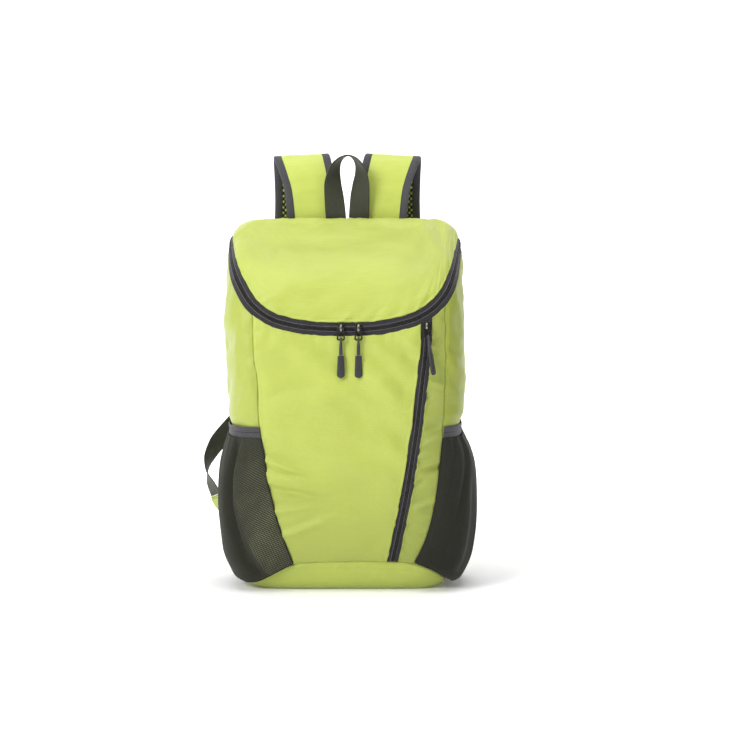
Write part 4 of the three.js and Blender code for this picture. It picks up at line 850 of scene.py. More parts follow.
def drape(grids):
    """Simulates each panel as cloth that is a little too large for its seams, and gives its new rise.

    The seams are pinned. The cloth's own slack and the filling's light push buckle it between them.
    """
    scene = bpy.context.scene
    sheets = {}
    for name, (grid, slack) in grids.items():
        along, up = lengths_along(grid, 1)[:, -1].mean(), lengths_along(grid, 0)[-1].mean()
        rows, columns = coarse_picks(grid.shape[0], up), coarse_picks(grid.shape[1], along)
        coarse = grid[np.ix_(rows, columns)]
        out = normal_at(coarse)
        start = coarse + out * (0.25 * noise(coarse, 17, 900))[..., None]
        mesh = bpy.data.meshes.new(name + "_sheet")
        faces = grid_faces(*coarse.shape[:2])
        if volume_of(start.reshape(-1, 3) - BAG_MIDDLE, faces) < 0:
            faces = [f[::-1] for f in faces]
        mesh.from_pydata((start.reshape(-1, 3) * MM).tolist(), [], faces)
        sheet = bpy.data.objects.new(name + "_sheet", mesh)
        scene.collection.objects.link(sheet)
        index = np.arange(coarse[..., 0].size).reshape(coarse.shape[:2])
        rim = np.unique(np.concatenate([index[0], index[-1], index[:, 0], index[:, -1]]))
        sheet.vertex_groups.new(name="sewn").add(rim.tolist(), 1.0, "REPLACE")
        cloth = sheet.modifiers.new("Cloth", "CLOTH")
        cloth.point_cache.frame_start, cloth.point_cache.frame_end = 1, DRAPE_STEPS
        cloth.collision_settings.use_collision = False
        for key, value in DRAPE_CLOTH.items():
            setattr(cloth.settings, key, value)
        cloth.settings.vertex_group_mass = "sewn"
        cloth.settings.shrink_min = -slack
        cloth.settings.effector_weights.gravity = DRAPE_GRAVITY
        sheets[name] = (sheet, coarse, out, rows, columns)
    for step in range(1, DRAPE_STEPS + 1):
        scene.frame_set(step)
    graph = bpy.context.evaluated_depsgraph_get()
    rises = {}
    for name, (sheet, coarse, out, rows, columns) in sheets.items():
        moved = sheet.evaluated_get(graph).to_mesh()
        places = np.empty(len(moved.vertices) * 3, np.float32)
        moved.vertices.foreach_get("co", places)
        shift = np.sum((places.reshape(coarse.shape) / MM - coarse) * out, axis=-1)
        shift = softened(np.clip(np.nan_to_num(shift), -DRAPE_INWARD, DRAPE_OUTWARD), 1)
        row_count, column_count = grids[name][0].shape[:2]
        fine = spread_out(spread_out(shift, rows, row_count).T, columns, column_count).T
        rises[name] = softened(fine, 3)
        bpy.data.objects.remove(sheet)
    scene.frame_set(1)
    return rises


def place_of(row):
    return np.array([row["x"], row["y"], row["z"]], float)


def way_of(row):
    return row["across"] if "across" in row else facing(row.get("lean", 0), row.get("turn", 0))


def ribbon_frames(rows, stations):
    """Centres, width directions, thickness directions, widths and thicknesses along a band."""
    places = np.array([place_of(r) for r in rows])
    ways = np.array([way_of(r) for r in rows])
    t = np.linspace(0, 1, stations + 1)
    at = t * (len(rows) - 1)
    k = np.minimum(at.astype(int), len(rows) - 2)
    w = (at - k)[:, None]
    across = unit(ways[k] * (1 - w) + ways[k + 1] * w)
    centres, tangents = curve_at(places, t), curve_tangent(places, t)
    out = unit(np.cross(tangents, across))
    widths = np.interp(at, np.arange(len(rows)), [r["width"] for r in rows])
    thick = np.interp(at, np.arange(len(rows)), [r["thickness"] for r in rows])
    return {"centre": centres, "across": across, "out": out, "width": widths, "thickness": thick}


def facing(lean=0, turn=0):
    a, b = lean * TURN, turn * TURN
    return np.array([math.cos(a) * math.cos(b), math.sin(b), math.sin(a) * math.cos(b)])


def band_rings(frames, section):
    """Rings of a band: section(width, thickness) gives offsets across and out for each station."""
    rings = []
    for k in range(len(frames["centre"])):
        offsets = np.array(section(frames["width"][k], frames["thickness"][k]))
        rings.append(
            frames["centre"][k] + offsets[:, :1] * frames["across"][k] + offsets[:, 1:2] * frames["out"][k]
        )
    return np.array(rings)


def closed_tube(rings):
    """Points and faces of a closed body through rings."""
    count, sides = rings.shape[:2]
    points = rings.reshape(-1, 3)
    faces = grid_faces(count, sides, wrap=True)
    faces.append(list(range(sides))[::-1])
    faces.append([(count - 1) * sides + k for k in range(sides)])
    quads = faces[:-2]
    if volume_of(points, quads) < 0:
        faces = [f[::-1] for f in faces]
    return points, faces


def add_band(name, frames, section, key, node):
    """A band in its material, in place of the solid named by node."""
    rings = band_rings(frames, section)
    points, faces = closed_tube(rings)
    run = lengths_along(rings, 0).mean(axis=1)
    place = []
    for k in range(len(rings)):
        offsets = np.array(section(frames["width"][k], frames["thickness"][k]))
        place.append(np.column_stack([offsets[:, 0], np.full(len(offsets), run[k]), offsets[:, 1]]))
    piece = add_object(name, points, faces, mat(key), np.array(place).reshape(-1, 3) * MM)
    return settle(piece, key, node)


def flat_section(width, thickness, count=10):
    """A woven tape's section: flat faces and rounded selvedges."""
    half, h = width / 2, thickness / 2
    r = min(h, 0.7)
    offsets = []
    for k in range(count + 1):
        a = -half + r + (width - 2 * r) * k / count
        offsets.append((a, -h))
    offsets += [(half - 0.3 * r, -h * 0.8), (half, 0), (half - 0.3 * r, h * 0.8)]
    for k in range(count, -1, -1):
        a = -half + r + (width - 2 * r) * k / count
        offsets.append((a, h))
    offsets += [(-half + 0.3 * r, h * 0.8), (-half, 0), (-half + 0.3 * r, -h * 0.8)]
    return offsets


def thread_run(points, outs, pitch=3.0, length=2.1, radius=0.28):
    """Stitches along a line: small seeds of thread that lie on the surface."""
    points, outs = np.asarray(points, float), unit(np.asarray(outs, float))
    run = run_along(points)
    places = np.arange(pitch / 2, run[-1], pitch)
    centres, lifts = values_at(places, run, points), unit(values_at(places, run, outs))
    ways = unit(values_at(places + 0.5, run, points) - values_at(places - 0.5, run, points))
    aside = unit(np.cross(lifts, ways))
    shape = [(-0.5, 0.0), (-0.36, 0.8), (0.0, 1.0), (0.36, 0.8), (0.5, 0.0)]
    sides = 6
    verts, faces = [], []
    angle = np.linspace(0, 2 * math.pi, sides, endpoint=False)
    for c, lift, way, side in zip(centres, lifts, ways, aside):
        base = len(verts)
        verts.append(c + way * shape[0][0] * length)
        for share, size in shape[1:-1]:
            for a in angle:
                verts.append(
                    c + way * share * length + (side * math.cos(a) + lift * math.sin(a)) * radius * size
                )
        verts.append(c + way * shape[-1][0] * length)
        last = len(verts) - 1
        for i in range(sides):
            n = (i + 1) % sides
            faces.append((base, base + 1 + n, base + 1 + i))
            for ring in (0, 1):
                a, b = base + 1 + ring * sides + i, base + 1 + ring * sides + n
                faces.append((a, b, b + sides, a + sides))
            faces.append((last, base + 1 + 2 * sides + i, base + 1 + 2 * sides + n))
    return verts, faces


def add_threads(name, runs, key, **sizes):
    """One object of stitches along all the given lines."""
    verts, faces = [], []
    for points, outs in runs:
        v, f = thread_run(points, outs, **sizes)
        faces += [tuple(k + len(verts) for k in face) for face in f]
        verts += v
    return settle(add_object(name, np.array(verts), faces, mat(key)), key)


class Maker:
    """Writes a material's nodes in short lines."""

    def __init__(self, name, **sockets):
        self.material = bpy.data.materials.new(name)
        self.material.use_nodes = True
        self.tree = self.material.node_tree
        self.shader = self.tree.nodes["Principled BSDF"]
        for key, value in sockets.items():
            self.shader.inputs[key.replace("_", " ")].default_value = value

    def link(self, source, target):
        if isinstance(source, (int, float, tuple)):
            target.default_value = source
        else:
            self.tree.links.new(source, target)

    def node(self, kind, **settings):
        node = self.tree.nodes.new(kind)
        for key, value in settings.items():
            setattr(node, key, value)
        return node

    def math(self, operation, *values):
        node = self.node("ShaderNodeMath", operation=operation)
        for value, socket in zip(values, node.inputs):
            self.link(value, socket)
        return node.outputs[0]

    def cloth(self):
        """The cloth's own coordinates: across, along and distance, in metres."""
        place = self.node("ShaderNodeAttribute", attribute_name="cloth_place")
        parts = self.node("ShaderNodeSeparateXYZ")
        self.link(place.outputs["Vector"], parts.inputs[0])
        return place.outputs["Vector"], parts.outputs

    def object_place(self):
        return self.node("ShaderNodeTexCoord").outputs["Object"]

    def noise(self, place, scale, detail=3.0, rough=0.5, stretch=None):
        if stretch:
            scaled = self.node("ShaderNodeVectorMath", operation="MULTIPLY")
            self.link(place, scaled.inputs[0])
            scaled.inputs[1].default_value = stretch
            place = scaled.outputs[0]
        node = self.node("ShaderNodeTexNoise")
        self.link(place, node.inputs["Vector"])
        node.inputs["Scale"].default_value = scale
        node.inputs["Detail"].default_value = detail
        node.inputs["Roughness"].default_value = rough
        return node.outputs["Fac"]

    def wave(self, value, pitch, sharp=1.0):
        """0 to 1 ridges across a coordinate, one for each pitch."""
        turned = self.math("MULTIPLY", value, 2 * math.pi / pitch)
        ridge = self.math("MULTIPLY_ADD", self.math("SINE", turned), 0.5, 0.5)
        return ridge if sharp == 1.0 else self.math("POWER", ridge, sharp)

    def mix(self, share, a, b):
        node = self.node("ShaderNodeMix", data_type="RGBA")
        self.link(share, node.inputs["Factor"])
        self.link(a, node.inputs["A"] if not isinstance(a, tuple) else node.inputs[6])
        self.link(b, node.inputs["B"] if not isinstance(b, tuple) else node.inputs[7])
        return node.outputs[2]

    def spread(self, value, low, high, to_low=0.0, to_high=1.0):
        node = self.node("ShaderNodeMapRange")
        self.link(value, node.inputs[0])
        for k, number in enumerate((low, high, to_low, to_high)):
            node.inputs[k + 1].default_value = number
        return node.outputs[0]

    def bump(self, height, distance, strength=1.0, normal=None):
        node = self.node("ShaderNodeBump")
        node.inputs["Distance"].default_value = distance
        node.inputs["Strength"].default_value = strength
        self.link(height, node.inputs["Height"])
        if normal is not None:
            self.link(normal, node.inputs["Normal"])
        return node.outputs[0]

    def finish(self, colour=None, roughness=None, normal=None):
        for value, key in ((colour, "Base Color"), (roughness, "Roughness"), (normal, "Normal")):
            if value is not None:
                self.link(value, self.shader.inputs[key])
        return self.material


def linear(red, green, blue):
    """A colour as read off a screen, 0 to 255, turned into light."""
    parts = [c / 255 for c in (red, green, blue)]
    return tuple(c / 12.92 if c <= 0.04045 else ((c + 0.055) / 1.055) ** 2.4 for c in parts) + (1.0,)


def shade(colour, factor):
    return tuple(min(1.0, c * factor) for c in colour[:3]) + (1.0,)


def ripstop(name, colour, sheen=0.22, painted_foot_shade=1.0):
    """Thin coated cloth: a fine plain weave with a grid of thicker threads; the foot factor paints shade low
    down.
    """
    m = Maker(name, IOR=1.45, Sheen_Weight=sheen, Sheen_Roughness=0.4, Specular_IOR_Level=0.5)
    place, (across, along, _) = m.cloth()
    ribs = m.wave(along, 0.0011)
    threads = m.wave(across, 0.0008)
    weave_height = m.math("ADD", m.math("MULTIPLY", ribs, 0.7), m.math("MULTIPLY", threads, 0.3))
    grid = m.math("MAXIMUM", m.wave(across, 0.0042, 14.0), m.wave(along, 0.0036, 10.0))
    cloud = m.noise(place, 14.0, 3.0, 0.6)
    fleck = m.noise(place, 420.0, 2.0, 0.6)
    tone = m.mix(m.spread(cloud, 0.3, 0.7), shade(colour, 0.95), shade(colour, 1.03))
    tone = m.mix(m.math("MULTIPLY", grid, 0.1), tone, shade(colour, 1.14))
    # Painted sheen: streaks along the threads, laid in as darker bands between lighter ones
    painted_sheen_streaks = m.noise(place, 260.0, 2.0, 0.6, (0.1, 1.0, 1.0))
    tone = m.mix(m.spread(painted_sheen_streaks, 0.35, 0.75, 0.0, 0.22), tone, shade(colour, 0.84))
    tone = m.mix(m.spread(fleck, 0.35, 0.75, 0.0, 0.16), tone, shade(colour, 0.82))
    # Painted shade: the cloth darkens towards its foot
    if painted_foot_shade != 1.0:
        shaded_foot_tone = m.mix(1.0, tone, shade(colour, painted_foot_shade))
        tone = m.mix(m.spread(along, 0.0, 0.13, 0.7, 0.0), tone, shaded_foot_tone)
    crumple = m.noise(place, 60.0, 4.0, 0.6, (1.0, 1.6, 1.0))
    first = m.bump(crumple, 0.0011, 0.55)
    second = m.bump(weave_height, 0.00012, 0.5, first)
    normal = m.bump(grid, 0.00018, 0.35, second)
    rough = m.spread(cloud, 0.2, 0.8, 0.42, 0.54)
    return m.finish(tone, rough, normal)


def woven_tape(name, colour, rib, depth=0.00025, rough=0.8, across_ribs=True, light=1.35):
    """Zip tape, binding and webbing: close ribs with a light and a dark thread."""
    m = Maker(name, Sheen_Weight=0.2, Sheen_Roughness=0.5, Specular_IOR_Level=0.3)
    place, (across, along, _) = m.cloth()
    ribs = m.wave(along if across_ribs else across, rib)
    picks = m.wave(across if across_ribs else along, rib * 0.6)
    twill = m.wave(m.math("ADD", across, along), rib * 1.4)
    height = m.math("ADD", m.math("MULTIPLY", ribs, 0.6), m.math("MULTIPLY", picks, 0.25))
    height = m.math("ADD", height, m.math("MULTIPLY", twill, 0.15))
    cloud = m.noise(place, 40.0, 3.0, 0.6)
    tone = m.mix(height, shade(colour, 0.72), shade(colour, light))
    tone = m.mix(m.spread(cloud, 0.35, 0.7, 0.0, 0.3), tone, shade(colour, 0.8))
    return m.finish(tone, m.spread(cloud, 0.2, 0.8, rough - 0.08, rough + 0.06), m.bump(height, depth, 0.8))


def open_mesh(name, thread, hole, pitch, open_share=0.34, show=(0.3, 0.7), depth=0.0003, relief=0.6,
              taut=None, turned_away=None):
    """A knitted mesh: rows of small round holes, offset like honeycomb, over what lies behind.

    Where it lies taut near its seam the cloth behind shows through: taut is that width and height. Where it
    turns away past a fold, at turned_away, its layers close up and it is darker. All are in metres.
    """
    m = Maker(name, Sheen_Weight=0.05, Specular_IOR_Level=0.2)
    place, (across, along, _) = m.cloth()
    first = m.math("MULTIPLY", m.wave(across, pitch), m.wave(along, pitch * 1.2))
    half_across = m.math("ADD", across, pitch / 2)
    half_along = m.math("ADD", along, pitch * 0.6)
    second = m.math("MULTIPLY", m.wave(half_across, pitch), m.wave(half_along, pitch * 1.2))
    holes = m.math("MAXIMUM", first, second)
    opened = m.spread(holes, 1 - open_share, 1 - open_share * 0.45)
    cloud = m.noise(place, 22.0, 3.0, 0.6)
    seen = m.math("MULTIPLY", opened, m.spread(cloud, show[0], show[1], 0.25, 1.0))
    yarn = m.noise(place, 900.0, 2.0, 0.6)
    tone = m.mix(m.spread(yarn, 0.3, 0.7), shade(thread, 0.75), shade(thread, 1.2))
    if taut:
        low = m.spread(along, taut[1] * 0.3, taut[1], 1.0, 0.0)
        near = m.math("MULTIPLY", m.spread(across, 0.0, taut[0], 1.0, 0.0), low)
        seen = m.math("MULTIPLY", seen, m.spread(near, 0.0, 0.5, 0.22, 1.0))
    tone = m.mix(seen, tone, hole)
    if turned_away:
        bow = m.math("POWER", m.math("ABSOLUTE", m.math("MULTIPLY_ADD", along, 1 / 0.09, -1.0)), 2.0)
        bowed = m.math("MULTIPLY_ADD", bow, 0.0132, across)
        past = m.spread(bowed, turned_away - 0.002, turned_away + 0.002, 0.0, 0.6)
        tone = m.mix(past, tone, shade(thread, 0.5))
    height = m.math("SUBTRACT", 1.0, opened)
    return m.finish(tone, 0.82, m.bump(height, depth, relief))


def plain_rubber(name, colour, rough, grain=1500.0, depth=0.00005):
    """Moulded rubber or plastic with a fine matt grain and soft clouds of tone."""
    m = Maker(name, Specular_IOR_Level=0.45)
    place = m.object_place()
    grain_height = m.noise(place, grain, 2.0, 0.5)
    cloud = m.noise(place, 120.0, 3.0, 0.6)
    tone = m.mix(m.spread(cloud, 0.3, 0.7), shade(colour, 0.85), shade(colour, 1.2))
    rough_map = m.spread(cloud, 0.2, 0.8, rough - 0.08, rough + 0.1)
    return m.finish(tone, rough_map, m.bump(grain_height, depth, 0.5))


def worn_metal(name, colour, rough):
    """Gunmetal plating: darker clouds, fine scratches and a soft polish."""
    m = Maker(name, Metallic=1.0)
    place = m.object_place()
    cloud = m.noise(place, 260.0, 4.0, 0.6)
    scratch = m.noise(place, 2600.0, 2.0, 0.7, (1.0, 1.0, 0.12))
    tone = m.mix(m.spread(cloud, 0.3, 0.7), shade(colour, 0.7), shade(colour, 1.25))
    rough_map = m.spread(scratch, 0.3, 0.7, rough - 0.08, rough + 0.14)
    return m.finish(tone, rough_map, m.bump(scratch, 0.00003, 0.4))


def braided_cord(name, colour):
    """A thin round cord: two sets of strands that cross."""
    m = Maker(name, Sheen_Weight=0.2)
    _, (around, along, _) = m.cloth()
    one = m.wave(m.math("ADD", along, around), 0.0012)
    other = m.wave(m.math("SUBTRACT", along, around), 0.0012)
    height = m.math("MAXIMUM", one, other)
    tone = m.mix(height, shade(colour, 0.6), shade(colour, 1.3))
    return m.finish(tone, 0.7, m.bump(height, 0.0002, 0.8))


# The right side's cloth: the lime painted darker and greener, as painted shade on the side the light doesn't
# reach
LIME_IN_SHADE = (0.29, 0.335, 0.045, 1.0)


def make_materials():
    colours = bpy.context.scene.backpack_colours
    names = ("lime", "dark_trim", "grey_trim", "webbing", "pocket_mesh")
    lime, dark, grey, strap_web, knit = (tuple(getattr(colours, name)) + (1.0,) for name in names)
    return {
        "lime": ripstop("lime_ripstop", lime),
        # The front's cloth gets painted shade towards its foot
        "lime_front_painted_shade": ripstop("lime_ripstop_front", lime, painted_foot_shade=0.74),
        # The straps' cloth is a lighter copy of the lime: painted light where the light falls on them
        "lime_strap": ripstop("lime_ripstop_strap", shade(lime, 1.12), 0.3),
        # The left side's cloth is a darker copy of the lime: painted shade
        "lime_side_painted_shade": ripstop("lime_ripstop_side", shade(lime, 0.9)),
        # The strip beside the front zip is a darker copy of the lime: painted shade in its hollow
        "lime_strip_painted_shade": ripstop("lime_ripstop_strip", shade(lime, 0.68), 0.1),
        "lime_shade": ripstop("lime_ripstop_shade", LIME_IN_SHADE, 0.0),
        "lime_thread": woven_tape("lime_thread", shade(lime, 0.9), 0.0004, 0.00005),
        "tape": woven_tape("zip_tape_weave", dark, 0.0009, 0.0002, across_ribs=True),
        "coil": plain_rubber("zip_coil_nylon", shade(dark, 0.5), 0.3),
        "dark_thread": woven_tape("dark_thread", shade(dark, 0.45), 0.0004, 0.00005),
        # Pale rows beside the coils: painted glints on the coil's two sides
        "painted_glint_thread": plain_rubber("pale_coil_thread", linear(104, 102, 108), 0.4),
        "binding": woven_tape("grey_binding_weave", grey, 0.0012, 0.0002),
        "grey_thread": woven_tape("grey_thread", shade(grey, 0.75), 0.0004, 0.00005),
        "webbing": woven_tape("dark_webbing_weave", strap_web, 0.0019, 0.0004,
                              across_ribs=False, light=1.5),
        "mesh_left": open_mesh("pocket_mesh_knit", knit, linear(150, 152, 118), 0.0026, 0.42,
                               taut=(0.06, 0.15), turned_away=0.046),
        # The right pocket's knit is a darker copy of the left's: painted shade on the side away from the
        # light
        "mesh_right": open_mesh("pocket_mesh_knit_right", shade(knit, 0.6), shade(knit, 1.3),
                                0.0026, 0.36),
        "air_mesh": open_mesh("air_mesh", linear(34, 36, 28), shade(lime, 0.75), 0.0058, 0.62, (0.0, 0.1),
                              0.0012, 0.9),
        "metal": worn_metal("gunmetal_plating", linear(84, 82, 80), 0.28),
        # A lighter copy of the gunmetal for the sliders' bridges: a painted glint
        "painted_glint_metal": worn_metal("bright_plating", linear(132, 128, 120), 0.26),
        "rubber": plain_rubber("pull_rubber", linear(43, 43, 46), 0.5),
        "plastic": plain_rubber("black_plastic", linear(30, 31, 33), 0.4),
        "cord": braided_cord("pull_cord_braid", linear(52, 51, 52)),
    }


MATERIALS = {}


def mat(key):
    return MATERIALS[key]


def settle(piece, key, *nodes):
    """Hides the solids that a piece stands for; the key that it is given is not used."""
    if nodes:
        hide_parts(*nodes)
    return piece


# Panels
def panel_edges():
    """The four dense edges of every panel, keyed by the solid's name."""
    size = bpy.context.scene.backpack_sizes
    fine = 1.0 / max(size.cell, 0.5)
    up_count = int(290 * fine / 1.6)
    t = np.linspace(0, 1, up_count + 1)
    seams = {key: seam.at(t) for key, seam in
             {"left": LEFT_SEAM, "inner": ZIP_INNER, "outer": ZIP_OUTER, "right": RIGHT_SEAM}.items()}

    def foot(first, last, count):
        columns = np.linspace(first, last, count + 1)
        return front_foot(np.interp(columns, np.arange(len(FOOT_X)), FOOT_X))

    def zip_low(first, last, count):
        return zip_edge(np.linspace(first, last, count + 1), -1)

    across = {"front": int(180 * fine / 1.6), "strip": int(30 * fine / 1.6) + 4,
              "side": int(170 * fine / 2)}
    cells = SIDE_FRONT_CELLS
    side_count = (across["side"] // SIDE_CELLS) * SIDE_CELLS
    near = side_count * cells // SIDE_CELLS
    far = side_count - near
    edges = {}
    edges["front_panel"] = (
        foot(cells, cells + FRONT_CELLS, across["front"]),
        zip_low(FRONT_START, FRONT_END, across["front"]),
        seams["left"],
        seams["inner"],
    )
    edges["front_side_strip"] = (
        foot(cells + FRONT_CELLS + 1, cells + FRONT_CELLS + 2, across["strip"]),
        zip_low(FRONT_END + 1, FRONT_END + 2, across["strip"]),
        seams["outer"],
        seams["right"],
    )
    back = {side: resampled(BACK_LINES[side], up_count) for side in SIGN}
    feet = {side: resampled(FOOT_LINES[side], far) for side in SIGN}
    left_foot = np.vstack([foot(0, cells, near)[::-1], feet["left"][1:]])
    right_foot = np.vstack([foot(len(FOOT_X) - 1 - cells, len(FOOT_X) - 1, near), feet["right"][1:]])
    edges["side_panel_left"] = (
        left_foot, zip_low(0, SIDE_CELLS, side_count)[::-1], seams["left"], back["left"])
    edges["side_panel_right"] = (
        right_foot, zip_low(ZIP_END - SIDE_CELLS, ZIP_END, side_count), seams["right"], back["right"])
    lid_count = int(420 * fine / 2)
    lid_rows = int(150 * fine / 1.6)
    lids = {side: resampled(LID_LINES[side], lid_rows) for side in SIGN}
    lid_top = resampled(TOP_LINE, lid_count)
    lid_foot = zip_edge(np.linspace(0, ZIP_END, lid_count + 1), 1)
    edges["lid"] = (lid_foot, lid_top, lids["left"], lids["right"])
    base_count = int(300 * fine / 2)
    edges["bottom_panel"] = (
        foot(0, len(FOOT_X) - 1, base_count),
        back_foot(np.linspace(-1, 1, base_count + 1)),
        feet["left"],
        feet["right"],
    )
    back_rows = (up_count + lid_rows) // 2
    back_sides = {side: resampled(np.vstack([back[side], lids[side]]), back_rows) for side in SIGN}
    back_count = int(260 * fine / 2.4)
    back_top = curve_at(TOP_LINE, np.linspace(0, 1, back_count + 1))
    back_top = skin(back_top)
    back_top[0], back_top[-1] = TOP_LINE[0], TOP_LINE[-1]
    edges["back_panel"] = (
        back_foot(np.linspace(-1, 1, back_count + 1)), back_top, back_sides["left"], back_sides["right"])
    return edges


# Every panel's edges, kept for the pockets that hang over the side panels
EDGES = {}

# How each panel is sewn: its bulge and shift in millimetres, the slack of its cloth and its gathers
PANEL_LOOKS = {
    "front_panel": {
        "seed": 3, "material": "lime_front_painted_shade", "puff": 1.2, "shift": 0.0, "slack": 0.02,
        "hems": ("top", "right"), "puckers": {"left": 0.8, "right": 0.5, "top": 0.7, "bottom": 0.4},
    },
    "front_side_strip": {
        "seed": 11, "material": "lime_strip_painted_shade", "puff": 0.6, "shift": 0.0, "slack": 0.03,
        "hems": ("top", "left"), "puckers": {"left": 1.3, "right": 1.0, "top": 0.4, "bottom": 0.4},
    },
    "side_panel_left": {
        "seed": 23, "material": "lime_side_painted_shade", "puff": 0.3, "shift": -1.4, "slack": 0.02, "hems": ("top",),
        "puckers": {"left": 0.7, "right": 0.7, "top": 0.6, "bottom": 0.5},
    },
    "side_panel_right": {
        "seed": 31, "material": "lime_shade", "puff": 0.6, "shift": -0.3, "slack": 0.02, "hems": ("top",),
        "puckers": {"left": 0.7, "right": 0.7, "top": 0.6, "bottom": 0.5},
    },
    "lid": {
        "seed": 43, "material": "lime", "puff": 1.4, "shift": 0.0, "slack": 0.015, "hems": ("bottom",),
        "puckers": {"bottom": 0.9, "top": 0.8, "left": 0.4, "right": 0.4},
    },
    "bottom_panel": {
        "seed": 53, "material": "lime", "puff": 0.7, "shift": 0.0, "slack": 0.0, "hems": (),
        "puckers": {"bottom": 0.6, "left": 0.5, "right": 0.5, "top": 0.4},
    },
    "back_panel": {
        "seed": 61, "material": "lime", "puff": 0.8, "shift": 0.0, "slack": 0.015, "hems": (),
        "puckers": {"left": 0.8, "right": 0.8, "top": 0.6, "bottom": 0.6},
    },
}
# The sides along which a panel's stitches show, and how many cells they lie inside its edge
STITCHED = {
    "front_panel": ("left", "right"), "front_side_strip": ("left", "right"), "lid": ("bottom",),
    "bottom_panel": ("bottom",), "side_panel_left": ("left",), "side_panel_right": ("left",),
}
STITCH_INSET = 2
STITCH_LINES = {
    "left": np.s_[STITCH_INSET:-STITCH_INSET, STITCH_INSET + 1],
    "right": np.s_[STITCH_INSET:-STITCH_INSET, -STITCH_INSET - 2],
    "bottom": np.s_[STITCH_INSET + 1, STITCH_INSET:-STITCH_INSET],
}


class BACKPACK_OT_panels(bpy.types.Operator):
    """Sews the seven cloth panels of the bag along their shared seams"""

    bl_idname = "backpack.panels"
    bl_label = "Cloth Panels"

    def execute(self, context):
        size = context.scene.backpack_sizes
        EDGES.update(panel_edges())
        grids = {name: patch(*edges) for name, edges in EDGES.items()}
        slacks = {name: (grids[name], look["slack"]) for name, look in PANEL_LOOKS.items() if look["slack"]}
        rises = drape(slacks)
        runs = []
        for name, grid in grids.items():
            look = PANEL_LOOKS[name]
            grid = hemmed(grid, look["hems"], look["seed"])
            lift = cloth_lift(grid, look["puckers"], look["seed"], name != "back_panel",
                              look["puff"], size.pucker, size.ripple)
            lift = lift + rises.get(name, 0.0) + look["shift"]
            if name.startswith("side_panel"):
                # Behind the pockets the cloth lies flat, clear of the knit and the bands
                under = np.clip((POCKET_TOP + 12 - grid[..., 2]) / 10, 0, 1)
                lift = lift * (1 - under) + np.minimum(lift, -0.2) * under
            if name == "bottom_panel":
                # On the floor it has no room to bulge
                lift = lift * np.minimum(grid[..., 2] / 6, 1)
            piece, outer = cloth_wall(name + "_cloth", grid, mat(look["material"]), lift, look["hems"])
            settle(piece, look["material"], name)
            outs = outward(outer)
            for side in STITCHED.get(name, ()):
                runs.append((outer[STITCH_LINES[side]], outs[STITCH_LINES[side]]))
        add_threads("panel_stitches", runs, "lime_thread", pitch=2.8, length=2.0, radius=0.22)
        return {"FINISHED"}


def zip_lines(prefix, count):
    """A function that gives a zip's line at an offset from its middle."""
    if prefix == "main_zip":
        shares = np.linspace(0, 1, count + 1)
        return lambda offset: main_zip(shares, offset)
    t = np.linspace(0, 1, count + 1)
    inner, outer = ZIP_INNER.at(t), ZIP_OUTER.at(t)
    half = FRONT_ZIP_WIDTH / 2
    return lambda offset: skin(inner + (outer - inner) * (offset + half) / FRONT_ZIP_WIDTH)


def zip_tape(prefix, side, width, count):
    """One tape: it lies against its panel's seam and rises a little to the coil."""
    line = zip_lines(prefix, count)
    low, high = COIL_WIDTH / 2 * 0.4, width / 2 + 0.5
    offsets = np.linspace(low, high, 14) * side
    grid = np.stack([line(o) for o in offsets])
    out = normal_at(grid)
    share = np.linspace(0, 1, len(offsets))[:, None]
    rise = 0.25 + 0.35 * np.exp(-((share - 0.02) ** 2) / 0.02)
    rise = rise + 0.3 * np.exp(-((share - 0.86) ** 2) / 0.006)
    run = lengths_along(grid, 1)
    rise = rise + 0.15 * noise(vec(run, offsets[:, None] * 0.6, 0.0), 16, 77) - TAPE_RECESS * 0.4
    rise = rise - 0.8 * np.exp(-(((share - 1) / 0.06) ** 2))
    outer = grid + out * rise[..., None]
    points, faces = wall(outer, outer - out * 0.8)
    name = f"{prefix}_tape_{'upper' if side > 0 else 'lower'}"
    piece = add_object(name + "_weave", points, faces, mat("tape"), both_faces(offsets[:, None], run, 0.0))
    settle(piece, "tape", name)
    return outer, out


# The coil's pitch, its thread's radius and one loop of it: how far aside and how high, in millimetres
COIL_PITCH = 1.45
COIL_THREAD = 0.42
COIL_LOOP = ((-0.25, 0.55), (0.1, 1.15), (0.9, 1.32), (1.75, 1.1), (2.05, 0.5), (1.6, 0.1))


